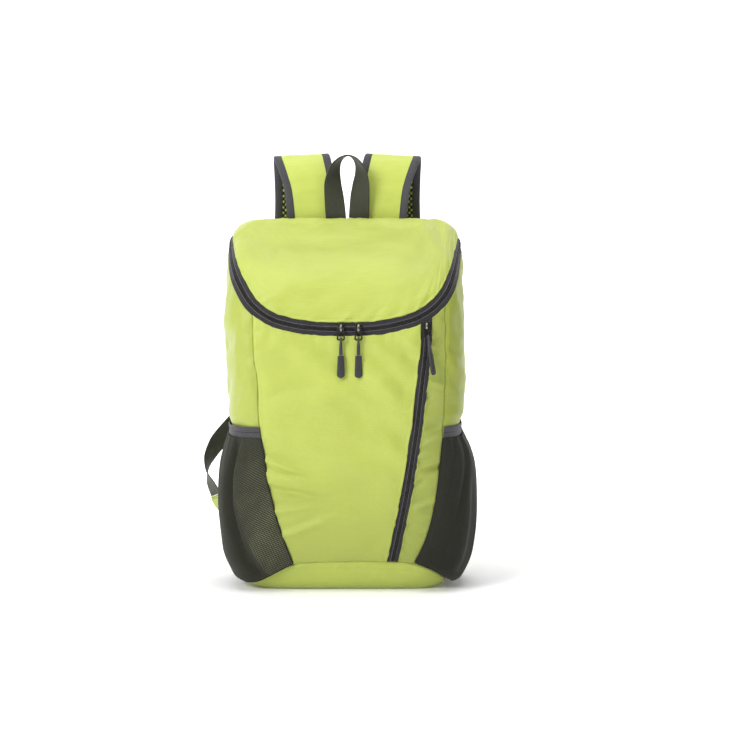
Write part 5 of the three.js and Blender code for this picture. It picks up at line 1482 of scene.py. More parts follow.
def coil_teeth(prefix, count):
    """The coil: rounded nylon loops that meet in turn along the middle of the zip."""
    line = zip_lines(prefix, count)
    middle, edge = line(0.0), line(1.0)
    out = normal_at(middle)
    run = run_along(middle)
    places = np.arange(COIL_PITCH, run[-1] - COIL_PITCH, COIL_PITCH)
    centre, lift = values_at(places, run, middle), unit(values_at(places, run, out))
    aside = unit(values_at(places, run, edge) - centre)
    ahead = unit(np.cross(lift, aside))
    sides = 6
    angle = np.linspace(0, 2 * math.pi, sides, endpoint=False)
    verts, faces = [], []
    for k in range(len(places)):
        for side in (-1, 1):
            base = len(verts)
            shift = 0.5 * COIL_PITCH * (side > 0)
            for a, h in COIL_LOOP:
                c = centre[k] + aside[k] * side * a + lift[k] * h + ahead[k] * shift
                turn = (a + 0.25) / 2.3
                first = lift[k] * (1 - turn * 0.7) + aside[k] * side * turn * 0.7
                for w in angle:
                    verts.append(c + (ahead[k] * math.cos(w) + first * math.sin(w)) * COIL_THREAD)
            for ring in range(len(COIL_LOOP) - 1):
                for i in range(sides):
                    a = base + ring * sides + i
                    b = base + ring * sides + (i + 1) % sides
                    faces.append((a, b, b + sides, a + sides))
            last = base + (len(COIL_LOOP) - 1) * sides
            faces.append(tuple(range(base, base + sides))[::-1])
            faces.append(tuple(range(last, last + sides)))
    points = np.array(verts)
    piece = add_object(prefix + "_coil_teeth", points, faces, mat("coil"))
    return settle(piece, "coil", prefix + "_coil")


# Each zip's width and how many steps its line has
ZIPS = (("main_zip", MAIN_ZIP_WIDTH, 420), ("front_zip", FRONT_ZIP_WIDTH, 190))


class BACKPACK_OT_zips(bpy.types.Operator):
    """Makes both zips: woven tapes, nylon coils, the rows of stitches that hold them and pale rows that
    paint glints on the coils
    """

    bl_idname = "backpack.zips"
    bl_label = "Zips"

    def execute(self, context):
        runs, light = [], []
        for prefix, width, count in ZIPS:
            for side in (-1, 1):
                outer, out = zip_tape(prefix, side, width, count)
                light.append((outer[3], out[3]))
                runs.append((outer[9], out[9]))
            coil_teeth(prefix, count)
        add_threads("zip_stitches", runs, "dark_thread", pitch=2.6, length=2.0, radius=0.24)
        # Pale rows beside the coils, painting glints on their sides
        add_threads("zip_coil_stitches", light, "painted_glint_thread", pitch=1.6, length=1.5, radius=0.42)
        return {"FINISHED"}


def pocket_columns(side, columns, height):
    """How far up a side panel one height lies, as shares, at the given shares of its width."""
    edges = POCKET_EDGES[side]
    low, high = np.zeros(len(columns)), np.ones(len(columns))
    for _ in range(16):
        middle = (low + high) / 2
        p = patch_at(edges, columns, middle)
        below = p[:, 2] < height
        low, high = np.where(below, middle, low), np.where(below, high, middle)
    return low


def line_at(points, share):
    at = np.clip(share, 0, 1) * (len(points) - 1)
    k = np.minimum(at.astype(int), len(points) - 2)
    return points[k] + (points[k + 1] - points[k]) * (at - k)[..., None]


def patch_at(edges, s, t):
    bottom, top, left, right = edges
    s, t = np.broadcast_arrays(np.asarray(s, float), np.asarray(t, float))
    b, u, l, r = line_at(bottom, s), line_at(top, s), line_at(left, t), line_at(right, t)
    a, c = s[..., None], t[..., None]
    p = b * (1 - c) + u * c + l * (1 - a) + r * a
    p = p - bottom[0] * (1 - a) * (1 - c) - bottom[-1] * a * (1 - c)
    return skin(p - top[0] * (1 - a) * c - top[-1] * a * c)


POCKET_EDGES = {}
# Folds of the pockets' knit as shares: where across and up, how far they slant and bow, size and depth
KNIT_FOLDS = {
    "left": {
        "across": (0.27, 0.12, 0.19, 0.46), "up": (0.52, 0.9, 0.2, 0.5), "slant": (0.0, 0.02, -0.1, 0.0),
        "bow": (0.08, 0.0, 0.0, 0.0), "width": (0.02, 0.02, 0.03, 0.05),
        "length": (0.52, 0.25, 0.22, 0.4), "depth": (0.9, 0.16, 0.16, 0.2),
    },
    "right": {
        "across": (0.2, 0.1, 0.31, 0.5), "up": (0.6, 0.75, 0.35, 0.5), "slant": (0.08, 0.05, -0.06, 0.0),
        "bow": (0.0, 0.0, 0.03, 0.0), "width": (0.024, 0.02, 0.024, 0.05),
        "length": (0.4, 0.3, 0.3, 0.4), "depth": (0.24, 0.16, 0.3, 0.2),
    },
}
# The knit sinks in at its side seams, keeps a share of the solid's bulge and is drawn in under its band,
# whose middle stands off the side panel; the knit is about this wide
SEAM_SINK = 1.7
POCKET_EASE = {"left": 0.82, "right": 0.9}
MOUTH_DRAW = 0.55
MOUTH_OPEN = 0.6
KNIT_SPAN = 150
# The knit's grid, and the share of its height at which it starts
KNIT_COLUMNS, KNIT_ROWS, KNIT_FOOT = 129, 113, 0.008


def pocket_surface(side, columns, rows, lift):
    """The bulging mesh: a grid of points outside the side panel."""
    heights = pocket_columns(side, columns, POCKET_TOP - BAND_HEIGHT)
    up = np.asarray(rows)[:, None]
    s = np.broadcast_to(columns, (len(rows), len(columns)))
    p = patch_at(POCKET_EDGES[side], s, up * heights[None, :])
    round_ = np.sin(np.pi * np.clip(s, 0, 1)) ** 0.6
    bulge = POCKET_BULGE[side] * POCKET_EASE[side]
    narrow = 1 - MOUTH_DRAW * np.clip((up - 0.8) / 0.2, 0, 1) ** 2
    swell = bulge * smooth(POCKET_SWELL, "up", side, np.broadcast_to(up, s.shape)) * round_ * narrow
    for fold in table_rows(KNIT_FOLDS[side]):
        bow = fold["bow"] * ((up - 0.5) / 0.5) ** 2
        off = (s - fold["across"] + bow - fold["slant"] * (up - 0.5)) / fold["width"]
        reach = np.exp(-(((up - fold["up"]) / fold["length"]) ** 4))
        swell = swell - fold["depth"] * bulge * np.exp(-off * off) * reach * round_ * np.minimum(1, up * 12)
    swell = np.maximum(swell, 0)
    run = s * KNIT_SPAN
    gather = noise(vec(run, up * 22, 5.0), 4.6, 90 + SIGN[side]) * np.exp(-(1 - up) / 0.2)
    soft = noise(vec(run, up * 40, 9.0), 13, 95 + SIGN[side])
    sag = noise(vec(run, up * 120, 3.0), 24, 99 + SIGN[side])
    fade = np.minimum(1, round_ * 1.2) * np.minimum(1, (swell + 1.5) / 4)
    swell = swell + (1.7 * gather + 0.8 * soft + 0.9 * sag) * fade
    out = normal_at(p)
    level = out.copy()
    level[..., 2] *= POCKET_SAG_SHARE
    seat = lift - SEAM_SINK * np.exp(-s * KNIT_SPAN / 3) - SEAM_SINK * np.exp(-(1 - s) * KNIT_SPAN / 3)
    return p + out * seat[..., None] + unit(level) * swell[..., None]


def add_cord(name, line, radius, key, sides=8):
    """A sewn-in cord: a thin tube along a line."""
    tangents = unit(np.gradient(line, axis=0))
    aside = unit(np.cross(tangents, np.array([0.0, -1.0, 0.05])))
    other = np.cross(tangents, aside)
    w = np.linspace(0, 2 * math.pi, sides, endpoint=False)[None, :, None]
    rings = line[:, None] + radius * (np.cos(w) * aside[:, None] + np.sin(w) * other[:, None])
    rings[..., 2] = np.maximum(rings[..., 2], 0.0)
    points, faces = closed_tube(rings)
    return settle(add_object(name, points, faces, mat(key)), key)


class BACKPACK_OT_pockets(bpy.types.Operator):
    """Hangs the two gathered mesh pockets and their double elastic bands"""

    bl_idname = "backpack.pockets"
    bl_label = "Mesh Pockets"

    def execute(self, context):
        for side in SIGN:
            edges = POCKET_EDGES[side] = EDGES["side_panel_" + side]
            columns = np.linspace(0.0, 0.99, KNIT_COLUMNS)
            rows = KNIT_FOOT + (1 - KNIT_FOOT) * np.linspace(0, 1, KNIT_ROWS) ** 1.35
            grid = pocket_surface(side, columns, rows, SEAT_GAP + POCKET_WALL + 0.9)
            points, faces = wall(grid, grid - outward(grid) * 0.7)
            place = both_faces(lengths_along(grid, 1), lengths_along(grid, 0), 0.0)
            piece = add_object(f"pocket_mesh_{side}_knit", points, faces, mat("mesh_" + side), place)
            settle(piece, "mesh_" + side, f"pocket_mesh_{side}")

            # The elastic: two ribbed tapes with a groove between them, gathered by their own pull
            heights = np.linspace(POCKET_TOP - BAND_HEIGHT - 0.6, POCKET_TOP, 25)
            band = []
            for height in heights:
                t = pocket_columns(side, columns, height)
                p = patch_at(edges, columns, t)
                open_ = MOUTH_OPEN * np.sin(np.pi * columns) ** 0.6
                band.append(p + normal_at(p) * (open_ + SEAT_GAP + 0.6)[:, None])
            band = np.stack(band)
            out = normal_at(band)
            share = np.linspace(0, 1, len(heights))[:, None]
            tape = 0.7 * np.abs(np.sin(np.pi * share * 2)) ** 0.3 + 0.3
            run = lengths_along(band, 1)
            gather = 0.22 * noise(vec(run, share * 3, 2.0), 2.6, 130)
            outer = band + out * ((tape * BAND_THICKNESS * 0.65) + gather)[..., None]
            points, faces = wall(outer, band)
            piece = add_object(f"pocket_band_{side}_elastic", points, faces, mat("binding"),
                               both_faces(run, lengths_along(band, 0), 0.0))
            settle(piece, "binding", f"pocket_band_{side}")
            groove = outer[len(heights) // 2]
            add_cord(f"pocket_band_{side}_groove", groove, 0.5, "dark_thread")
            add_cord(f"pocket_mesh_{side}_piping", grid[4:, 0], 0.85, "dark_thread")
            add_cord(f"pocket_mesh_{side}_hem", grid[2, :], 0.7, "dark_thread")
            runs = [(outer[6], out[6]), (outer[18], out[18])]
            add_threads(f"pocket_band_{side}_stitches", runs, "grey_thread", pitch=2.6, length=1.9,
                        radius=0.22)
        return {"FINISHED"}


def root_z(x, y, width, thickness):
    spots = np.array([x - width / 2, x, x + width / 2])
    return SEAT_GAP + float(np.max(top_height(spots, y - thickness / 2)))


def strap_rows(side):
    foot = root_z(STRAP_ROOT_X, STRAP_ROOT_Y, STRAP_WIDTH, BINDING_THICKNESS)
    root = {"x": STRAP_ROOT_X, "y": STRAP_ROOT_Y, "z": foot, "width": 0.97, "thickness": 0.5, "lean": 0}
    rows = [root, dict(root, z=foot + STRAP_THICKNESS, thickness=0.6)]
    rows += [placed(row) for row in table_rows(STRAP_PATH)]
    return [
        dict(
            r,
            x=side * r["x"] + STRAP_SHIFT,
            width=r["width"] * STRAP_WIDTH,
            thickness=r["thickness"] * STRAP_THICKNESS,
            lean=side * r["lean"],
        )
        for r in rows
    ]


def placed(row):
    return dict(row, x=row["x"] * HALF_WIDTH, y=row["y"] * BACK_DEPTH, z=row["z"] * BAG_HEIGHT)


def pad_section(width, thickness, count=18):
    """The foam core: crowned faces that thin down to the bindings."""
    core = width / 2 - BINDING_WIDTH * 0.55
    edge = min(thickness, BINDING_THICKNESS) / 2 * 0.8
    a = np.linspace(-core, core, count + 1)
    crown = edge + (thickness / 2 - edge) * (1 - np.abs(a / core) ** 2.6)
    upper = [(x, h) for x, h in zip(a, crown)]
    return [(x, -h) for x, h in upper] + upper[::-1]


def binding_section(side):
    """A folded tape that wraps the strap's edge: both flat faces and a rounded fold."""

    def section(width, thickness):
        edge = min(thickness, BINDING_THICKNESS) / 2 + 0.2
        inner, outer = width / 2 - BINDING_WIDTH, width / 2
        half = [(inner, 0.55 * edge), (inner + 0.5, edge), (outer - 2.2, edge * 1.02),
                (outer - 0.8, edge * 0.86), (outer - 0.15, edge * 0.42)]
        return [(side * a, n) for a, n in half] + [(side * a, -n) for a, n in half[::-1]]

    return section


# Sections along a strap
STRAP_STATIONS = 170


class BACKPACK_OT_straps(bpy.types.Operator):
    """Makes the two padded shoulder straps with their bindings and air-mesh faces"""

    bl_idname = "backpack.straps"
    bl_label = "Shoulder Straps"

    def execute(self, context):
        for name, side in SIGN.items():
            frames = ribbon_frames(strap_rows(side), STRAP_STATIONS)
            rings = band_rings(frames, pad_section)
            run = lengths_along(rings, 0).mean(axis=1)
            section = [np.array(pad_section(w, t)) for w, t in zip(frames["width"], frames["thickness"])]
            offsets = np.array(section)
            aside, away = offsets[..., 0], offsets[..., 1]
            soft = 0.45 * noise(vec(aside, run[:, None], away * 4), 13, 140 + side)
            soft += 0.3 * noise(vec(aside * 0.4, run[:, None], away * 4), 6, 150 + side)
            fade = 1 - np.abs(aside / (np.abs(aside).max(axis=1, keepdims=True))) ** 4
            rings = rings + frames["out"][:, None] * (soft * fade * np.sign(away))[..., None]
            points, faces = closed_tube(rings)
            place = np.stack(np.broadcast_arrays(aside, run[:, None], away), axis=-1)
            # The straps' lighter lime is painted light
            piece = add_object(f"strap_{name}_pad", points, faces, [mat("lime_strap"), mat("air_mesh")],
                               place.reshape(-1, 3) * MM)
            # The face that lies against the wearer is air mesh
            sides = rings.shape[1]
            inner_first = side_of_wearer(frames)
            for polygon in piece.data.polygons:
                if len(polygon.vertices) > 4:
                    continue
                column = np.mean([v % sides for v in polygon.vertices if v % sides != 0] or [0])
                is_low = column < sides / 2
                polygon.material_index = 1 if is_low == inner_first else 0
            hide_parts(f"strap_{name}")
            runs = []
            for which, sign in (("inner", -side), ("outer", side)):
                node = f"strap_binding_{name}_{which}"
                add_band(node + "_tape", frames, binding_section(sign), "binding", node)
                reach = frames["width"] / 2 - BINDING_WIDTH + 1.6
                half = np.minimum(frames["thickness"], BINDING_THICKNESS) / 2 + 0.2
                for face in (-1, 1):
                    line = frames["centre"] + frames["across"] * (sign * reach)[:, None]
                    line = line + frames["out"] * (face * half)[:, None]
                    runs.append((line[3:-2], frames["out"][3:-2] * face))
            add_threads(f"strap_{name}_stitches", runs, "grey_thread", pitch=3.0, length=2.2, radius=0.24)
        return {"FINISHED"}


def side_of_wearer(frames):
    """Whether a strap's first-listed face turns towards the wearer as it hangs behind the bag."""
    middle = len(frames["centre"]) // 2
    return bool(frames["out"][middle][1] > 0)


class BACKPACK_OT_haul_loop(bpy.types.Operator):
    """Makes the carrying loop of twisted webbing between the straps"""

    bl_idname = "backpack.haul_loop"
    bl_label = "Carrying Loop"

    def execute(self, context):
        foot = root_z(0, LOOP_ROOT_Y, 2 * WEBBING_WIDTH, LOOP_THICKNESS)
        rows = [
            {
                "x": row["x"] * LOOP_SPREAD,
                "y": LOOP_ROOT_Y,
                "z": foot + row["up"] * LOOP_RISE,
                "width": WEBBING_WIDTH,
                "thickness": LOOP_THICKNESS,
                "turn": row["turn"],
            }
            for row in table_rows(LOOP_PATH)
        ]
        add_band("haul_loop_webbing", ribbon_frames(rows, 150), flat_section, "webbing", "haul_loop")
        return {"FINISHED"}


def buckle_frame(side):
    above, end_row = strap_rows(side)[-2:]
    end = place_of(end_row)
    up = unit(place_of(above) - end)
    lean = end_row["lean"] * TURN
    across = np.array([math.cos(lean), 0, math.sin(lean)])
    across = unit(across - up * across.dot(up))
    out = unit(np.cross(across, up))
    if out[1] < 0:
        out = -out
    centre = end - up * BUCKLE_DROP
    return {"up": up, "across": across, "out": out, "centre": centre, "lean": end_row["lean"]}


BAR_WRAP = (BUCKLE_BAR * math.sqrt(2) + WEBBING_THICKNESS) / 2 + SEAT_GAP


def webbing_routes(side, route):
    """The rows of a strap's hanger, its adjusting webbing and its tab, as in the solids."""
    seat_frame = buckle_frame(side)

    def row(u, n):
        p = seat_frame["centre"] + seat_frame["up"] * u + seat_frame["out"] * n
        return {"x": p[0], "y": p[1], "z": p[2], "lean": seat_frame["lean"], "turn": 0,
                "width": WEBBING_WIDTH, "thickness": WEBBING_THICKNESS}

    def wrap(u, first, last):
        angles = np.linspace(first, last, 5) * TURN
        return [row(u + BAR_WRAP * math.cos(a), BAR_WRAP * math.sin(a)) for a in angles]

    seat = BUCKLE_DROP - SEAT_GAP
    ply = WEBBING_THICKNESS / 2 + SEAT_GAP
    hanger = [row(seat, ply), row(BUCKLE_PITCH + 3, BAR_WRAP), *wrap(BUCKLE_PITCH, 90, 270),
              row(BUCKLE_PITCH + 3, -BAR_WRAP), row(seat, -ply)]
    tail = [row(-WEBBING_TAIL, BAR_WRAP + 2), row(-2 * BUCKLE_PITCH, BAR_WRAP + 0.6),
            row(-BUCKLE_PITCH, BAR_WRAP), *wrap(0, 90, -90), row(-BUCKLE_PITCH, -BAR_WRAP),
            row(-BUCKLE_PITCH * 1.6, -BAR_WRAP)]
    webbing = tail + [
        dict(placed(row_), width=WEBBING_WIDTH, thickness=WEBBING_THICKNESS) for row_ in table_rows(route)
    ]
    before, last = (place_of(r) for r in webbing[-2:])
    way = unit(last - before)
    start = last + way * SEAT_GAP
    x, y, z = TAB_FOOT
    foot = skin(np.array([side * x * HALF_WIDTH, y * BACK_DEPTH, z * BAG_HEIGHT]))
    off = normal_at(foot)
    last_way = facing(webbing[-1]["lean"], webbing[-1]["turn"])
    foot_way = unit(np.array([0, 0, -1]) + off * off[2])
    if side > 0:
        foot_way = -foot_way
    if foot_way.dot(last_way) < 0 and side < 0:
        foot_way = -foot_way
    seat_point = foot + off * (SEAT_GAP + 0.2)
    approach = seat_point + off * TAB_STANDOFF
    below = start + way * TAB_STANDOFF * 0.8
    tab = []
    for point, width, across in (
        (start, WEBBING_WIDTH * 1.08, last_way),
        (below, WEBBING_WIDTH * 1.2, last_way),
        (approach, TAB_WIDTH * 0.9, unit(last_way * 0.3 + foot_way * 0.7)),
        (seat_point, TAB_WIDTH, foot_way),
    ):
        tab.append({"x": point[0], "y": point[1], "z": point[2], "width": width, "across": across,
                    "thickness": TAB_THICKNESS})
    return seat_frame, hanger, webbing, tab


def bar_frame(name, across, up, centre, material):
    """A ladder buckle: an outer frame and a middle bar, moulded with rounded edges."""
    w, h, c = BUCKLE_WIDTH / 2, BUCKLE_PITCH + BUCKLE_BAR / 2, 3
    outline = [(-w + c, -h), (w - c, -h), (w, -h + c), (w, h - c),
               (w - c, h), (-w + c, h), (-w, h - c), (-w, -h + c)]
    sw, sh = BUCKLE_SLOT / 2, (BUCKLE_PITCH - BUCKLE_BAR) / 2
    holes = [[(-sw, m - sh), (sw, m - sh), (sw, m + sh), (-sw, m + sh)]
             for m in (-BUCKLE_PITCH / 2, BUCKLE_PITCH / 2)]
    return plate(name, outline, holes, BUCKLE_BAR, 0.8, across, up, centre, material, "bag")


def plate(name, outline, holes, thickness, bevel, across, up, centre, material, body):
    """A flat moulded or cast plate with openings and rounded edges, set by two directions and a centre."""
    bm = bmesh.new()
    loops = []
    for line in [outline, *holes]:
        verts = [bm.verts.new((x, y, 0)) for x, y in line]
        loops.append([bm.edges.new((a, b)) for a, b in zip(verts, verts[1:] + verts[:1])])
    bmesh.ops.triangle_fill(bm, use_beauty=True, edges=[e for loop in loops for e in loop])
    bmesh.ops.dissolve_limit(bm, angle_limit=0.01, verts=bm.verts, edges=bm.edges)
    made = bmesh.ops.extrude_face_region(bm, geom=bm.faces[:])
    bmesh.ops.translate(bm, vec=(0, 0, thickness),
                        verts=[g for g in made["geom"] if isinstance(g, bmesh.types.BMVert)])
    bmesh.ops.recalc_face_normals(bm, faces=bm.faces)
    edges = [e for e in bm.edges if len(e.link_faces) == 2 and e.calc_face_angle(0) > 0.9
             and abs(e.verts[0].co.z - e.verts[1].co.z) < 1e-6]
    bmesh.ops.bevel(bm, geom=edges, offset=bevel, segments=3, profile=0.6, affect="EDGES")
    bmesh.ops.translate(bm, vec=(0, 0, -thickness / 2), verts=bm.verts)
    normal = np.cross(across, up)
    points = np.array([v.co[:] for v in bm.verts])
    world = centre + points[:, :1] * across + points[:, 1:2] * up + points[:, 2:3] * normal
    bm.verts.index_update()
    faces = [[v.index for v in f.verts] for f in bm.faces]
    bm.free()
    return add_object(name, world, faces, material, body=body, smooth_faces=False)


class BACKPACK_OT_webbing(bpy.types.Operator):
    """Makes the ladder buckles, their hangers, the adjusting webbing and the sewn tabs"""

    bl_idname = "backpack.webbing"
    bl_label = "Buckles and Webbing"

    def execute(self, context):
        for name, side in SIGN.items():
            route = LEFT_WEBBING_ROUTE if name == "left" else RIGHT_WEBBING_ROUTE
            set_, hanger, webbing, tab = webbing_routes(side, route)
            buckle = bar_frame(f"ladder_buckle_{name}_moulded", set_["across"], set_["up"], set_["centre"],
                               mat("plastic"))
            settle(buckle, "plastic", f"ladder_buckle_{name}")
            for part, rows, count in (("strap_hanger", hanger, 70), ("adjust_webbing", webbing, 190)):
                node = f"{part}_{name}"
                add_band(node + "_weave", ribbon_frames(rows, count), flat_section, "webbing", node)
            frames = ribbon_frames(tab, 40)
            add_band(f"anchor_tab_{name}_cloth", frames, flat_section, "lime", f"anchor_tab_{name}")
            runs = []
            for k in (3, 7):
                centre, across = frames["centre"][k], frames["across"][k]
                half = frames["width"][k] / 2 - 2
                for face in (-1, 1):
                    lift = frames["out"][k] * face * TAB_THICKNESS / 2
                    line = np.array([centre - across * half + lift, centre + across * half + lift])
                    runs.append((line, np.array([lift, lift])))
            add_threads(f"anchor_tab_{name}_stitches", runs, "dark_thread", pitch=2.2, length=1.7,
                        radius=0.35)
        return {"FINISHED"}


PULLER_FOOT = PULLER_BAR / 2 - PULLER_LENGTH
CORD_END = PULLER_FOOT - CORD_DROP


def turned(lean, sway):
    """How a pull hangs: turned out of the upright by its lean and to one side by its sway, in degrees."""
    a, b = -lean * TURN, -sway * TURN
    about_x = np.array([[1, 0, 0], [0, math.cos(a), -math.sin(a)], [0, math.sin(a), math.cos(a)]])
    about_y = np.array([[math.cos(b), 0, math.sin(b)], [0, 1, 0], [-math.sin(b), 0, math.cos(b)]])
    return about_x @ about_y


def pull_lean(pull, lug):
    """The smallest lean at which a pull hangs clear of the bag behind it."""
    turn = pull["grip"] * TURN
    grip = (GRIP_THICKNESS * math.cos(turn) + GRIP_BOTTOM_WIDTH * math.sin(turn)) / 2
    heights = np.linspace(PULLER_FOOT, CORD_END - GRIP_LENGTH, 13)
    spots = vec(0.0, grip + PULL_CLEARANCE, heights)
    lean = 0.0
    while lean < 60 and not np.all(fullness(spots @ turned(lean, pull["sway"]).T + lug) > 1):
        lean += 0.25
    return lean


def pull_places(name):
    """Where a slider sits: its lug's place, its own turn and the turn of its pull."""
    pull = PULLS[name]
    if pull["zip"] == "main":
        foot = main_zip(zip_share_at(pull["x"] * HALF_WIDTH, 0), 0)[0]
    else:
        seat = (ZIP_INNER.at([1.0])[0] + ZIP_OUTER.at([1.0])[0]) / 2
        foot = on_front(np.array([seat[0]]), np.array([seat[2] - FRONT_SLIDER_DROP]))[0]
    out = normal_at(foot)
    tilt = math.atan2(out[2], -out[1])
    height = COIL_PROUD + SEAT_GAP + SLIDER_THICKNESS + PIN_HEIGHT
    lug = foot + np.array([0, -math.cos(tilt), math.sin(tilt)]) * height
    return lug, turned(tilt / TURN, 0), turned(pull_lean(pull, lug), pull["sway"])


def trapezium(top_width, bottom_width, top, bottom, round_=2.0, steps=5):
    """An outline that widens downwards, with rounded lower corners."""
    a, b = top_width / 2, bottom_width / 2
    points = [(-a, top)]
    for k in range(steps + 1):
        w = math.pi / 2 * k / steps
        points.append((-b + round_ - round_ * math.cos(w), bottom + round_ - round_ * math.sin(w)))
    for k in range(steps + 1):
        w = math.pi / 2 * k / steps
        points.append((b - round_ + round_ * math.sin(w), bottom + round_ - round_ * math.cos(w)))
    points.append((a, top))
    return points


def slab(name, outline, holes, thickness, bevel, turn, lug, depth_shift, key, body):
    """A plate in a slider's or a pull's own frame: x aside, z up, thickness along y."""
    across, up = turn @ np.array([1.0, 0, 0]), turn @ np.array([0, 0, 1.0])
    centre = lug + turn @ np.array([0, depth_shift, 0])
    return plate(name, outline, holes, thickness, bevel, across, up, centre, mat(key), body)


# A slider's bridge in the slider's own frame, and its width and height
BRIDGE_PATH = (
    (0, PIN_HEIGHT + 0.3, 5.2), (0, PIN_HEIGHT - 1.2, 4.6), (0, -1.0, 2.9), (0, -LUG_RADIUS + 0.5, 0),
    (0, -1.0, -2.9), (0, PIN_HEIGHT - 1.2, -4.2), (0, PIN_HEIGHT + 0.3, -4.6),
)
BRIDGE_SECTION = (2.6, 1.1)


def arch_section(turn, lug, path, width, height, name):
    """A small cast bridge: a rounded bar bent along a path in the slider's middle plane."""
    places = curve_at(np.array(path, float), np.linspace(0, 1, 25))
    tangents = curve_tangent(np.array(path, float), np.linspace(0, 1, 25))
    rings = []
    for c, t in zip(places, tangents):
        aside = np.array([1.0, 0, 0])
        lift = unit(np.cross(t, aside))
        ring = []
        for k in range(12):
            x, y = soft_ring(2 * math.pi * k / 12, 0.6)
            ring.append(c + aside * (x * width / 2) + lift * (y * height / 2))
        rings.append(ring)
    rings = np.array(rings) @ turn.T + lug
    points, faces = closed_tube(rings)
    # The bridge is in the lighter metal that paints its glint
    return add_object(name, points, faces, mat("painted_glint_metal"))


# The braid's loose strands stand out a little from the solid's cord
CORD_LOFT = 1.5


def cord_points():
    """The closed loop of a pull's cord: up in front of the puller's bar, over it and down behind."""
    loop = (PULLER_BAR + CORD_DIAMETER) / 2 + SEAT_GAP
    half = CORD_DIAMETER / 2 + 0.05
    bar = PULLER_FOOT + PULLER_BAR / 2
    end = CORD_END
    front = np.array([
        [-half, 0, end], [-half, -0.3, end + CORD_ENTRY_HEIGHT],
        [-0.5, -loop * 0.8, bar - CORD_SPREAD_HEIGHT], [0, -loop, bar - 2],
        [0, -loop * 0.75, bar + loop * 0.7],
    ])
    return np.vstack([front, [[0, 0, bar + loop]], front[::-1] * [-1, -1, 1]])


def cord_tube(name, turn, lug, body):
    t = np.linspace(0, 1, 73)
    points, tangents = curve_at(cord_points(), t), curve_tangent(cord_points(), t)
    aside = unit(np.array([1.0, 0, 0]) - tangents * tangents[:, :1])
    other = np.cross(tangents, aside)
    w = np.linspace(0, 2 * math.pi, 12, endpoint=False)
    r = CORD_DIAMETER / 2 * CORD_LOFT
    rings = points[:, None] + r * (
        np.cos(w)[None, :, None] * aside[:, None] + np.sin(w)[None, :, None] * other[:, None])
    run = lengths_along(rings, 0).mean(axis=1)
    place = np.stack(np.broadcast_arrays(w * r, run[:, None], 0.0), axis=-1).reshape(-1, 3) * MM
    points, faces = closed_tube(rings @ turn.T + lug)
    return add_object(name, points, faces, mat("cord"), place, body)


# The length of a grip's rounded lower end
GRIP_CAP = 3.4


def grip_body(name, pull, turn, lug, body):
    """The rubber grip: a rounded wedge with a collar where the cord goes in and shallow finger ribs."""
    top, length, cap = CORD_END - SEAT_GAP, GRIP_LENGTH, GRIP_CAP
    heights = np.concatenate([[0, 0.05, 0.3], np.linspace(1, length - cap, 34),
                              length - cap + cap * np.sin(np.linspace(0.15, 1, 9) * math.pi / 2)])
    rings = []
    for h in heights:
        share = h / length
        width = GRIP_TOP_WIDTH + (GRIP_BOTTOM_WIDTH - GRIP_TOP_WIDTH) * share
        thick = GRIP_THICKNESS * (0.9 + 0.1 * share)
        end = 1.0
        if h < 1:
            end = 0.72 + 0.28 * math.sqrt(max(0.0, 1 - (1 - h) ** 2))
        if h > length - cap:
            end = math.sqrt(max(0.0, 1 - ((h - length + cap) / cap) ** 2)) * 0.93 + 0.04
        ribs = 0.16 * (math.sin((h - 5) * 2 * math.pi / 2.2) if 5 < h < 17 else 0)
        ring = []
        for k in range(28):
            w = 2 * math.pi * k / 28
            x, y = soft_ring(w, 0.62)
            deep = thick / 2 + ribs * abs(math.sin(w))
            ring.append((x * width / 2 * end, y * deep * (0.55 + 0.45 * end), top - h))
        rings.append(ring)
    a = pull["grip"] * TURN
    spin = np.array([[math.cos(a), -math.sin(a), 0], [math.sin(a), math.cos(a), 0], [0, 0, 1]])
    rings = np.array(rings) @ spin.T @ turn.T + lug
    points, faces = closed_tube(rings)
    return add_object(name, points, faces, mat("rubber"), body=body)


class BACKPACK_OT_pulls(bpy.types.Operator):
    """Casts the zip sliders and hangs their pullers, cord loops and rubber grips"""

    bl_idname = "backpack.pulls"
    bl_label = "Sliders and Pulls"

    def execute(self, context):
        for name, pull in PULLS.items():
            lug, seat_turn, hang_turn = pull_places(name)
            body = "pull_" + name
            half = SLIDER_LENGTH / 2
            outline = trapezium(SLIDER_WIDTH * 0.8, SLIDER_WIDTH, half, -half, 2.4)
            crown = slab(f"zip_slider_{name}_plate", outline, [], SLIDER_THICKNESS, 0.6, seat_turn, lug,
                         PIN_HEIGHT + SLIDER_THICKNESS / 2, "metal", "bag")
            settle(crown, "metal", f"zip_slider_{name}")
            bridge = arch_section(seat_turn, lug, BRIDGE_PATH, *BRIDGE_SECTION, f"zip_slider_{name}_bridge")
            settle(bridge, "painted_glint_metal")
            top = PULLER_BAR / 2
            frame_line = trapezium(PULLER_TOP_WIDTH, PULLER_BOTTOM_WIDTH, top, top - PULLER_LENGTH, 2.6)
            bar = PULLER_BAR * 1.3
            opening = trapezium(PULLER_TOP_WIDTH - 2 * bar, PULLER_BOTTOM_WIDTH - 2 * bar,
                                -PULLER_BAR / 2, top - PULLER_LENGTH + bar, 1.4)
            puller = slab(f"zip_puller_{name}_cast", frame_line, [opening], PULLER_BAR, 0.4, hang_turn, lug,
                          0.0, "metal", body)
            settle(puller, "metal", f"zip_puller_{name}")
            settle(cord_tube(f"pull_cord_{name}_braid", hang_turn, lug, body), "cord", f"pull_cord_{name}")
            grip = grip_body(f"pull_grip_{name}_rubber", pull, hang_turn, lug, body)
            settle(grip, "rubber", f"pull_grip_{name}")
        return {"FINISHED"}


# Painted glow of the paper beside the bag, kept low as painted shade; farther off it is as the setting says
PAPER_GLOW_NEAR_BAG = 0.08
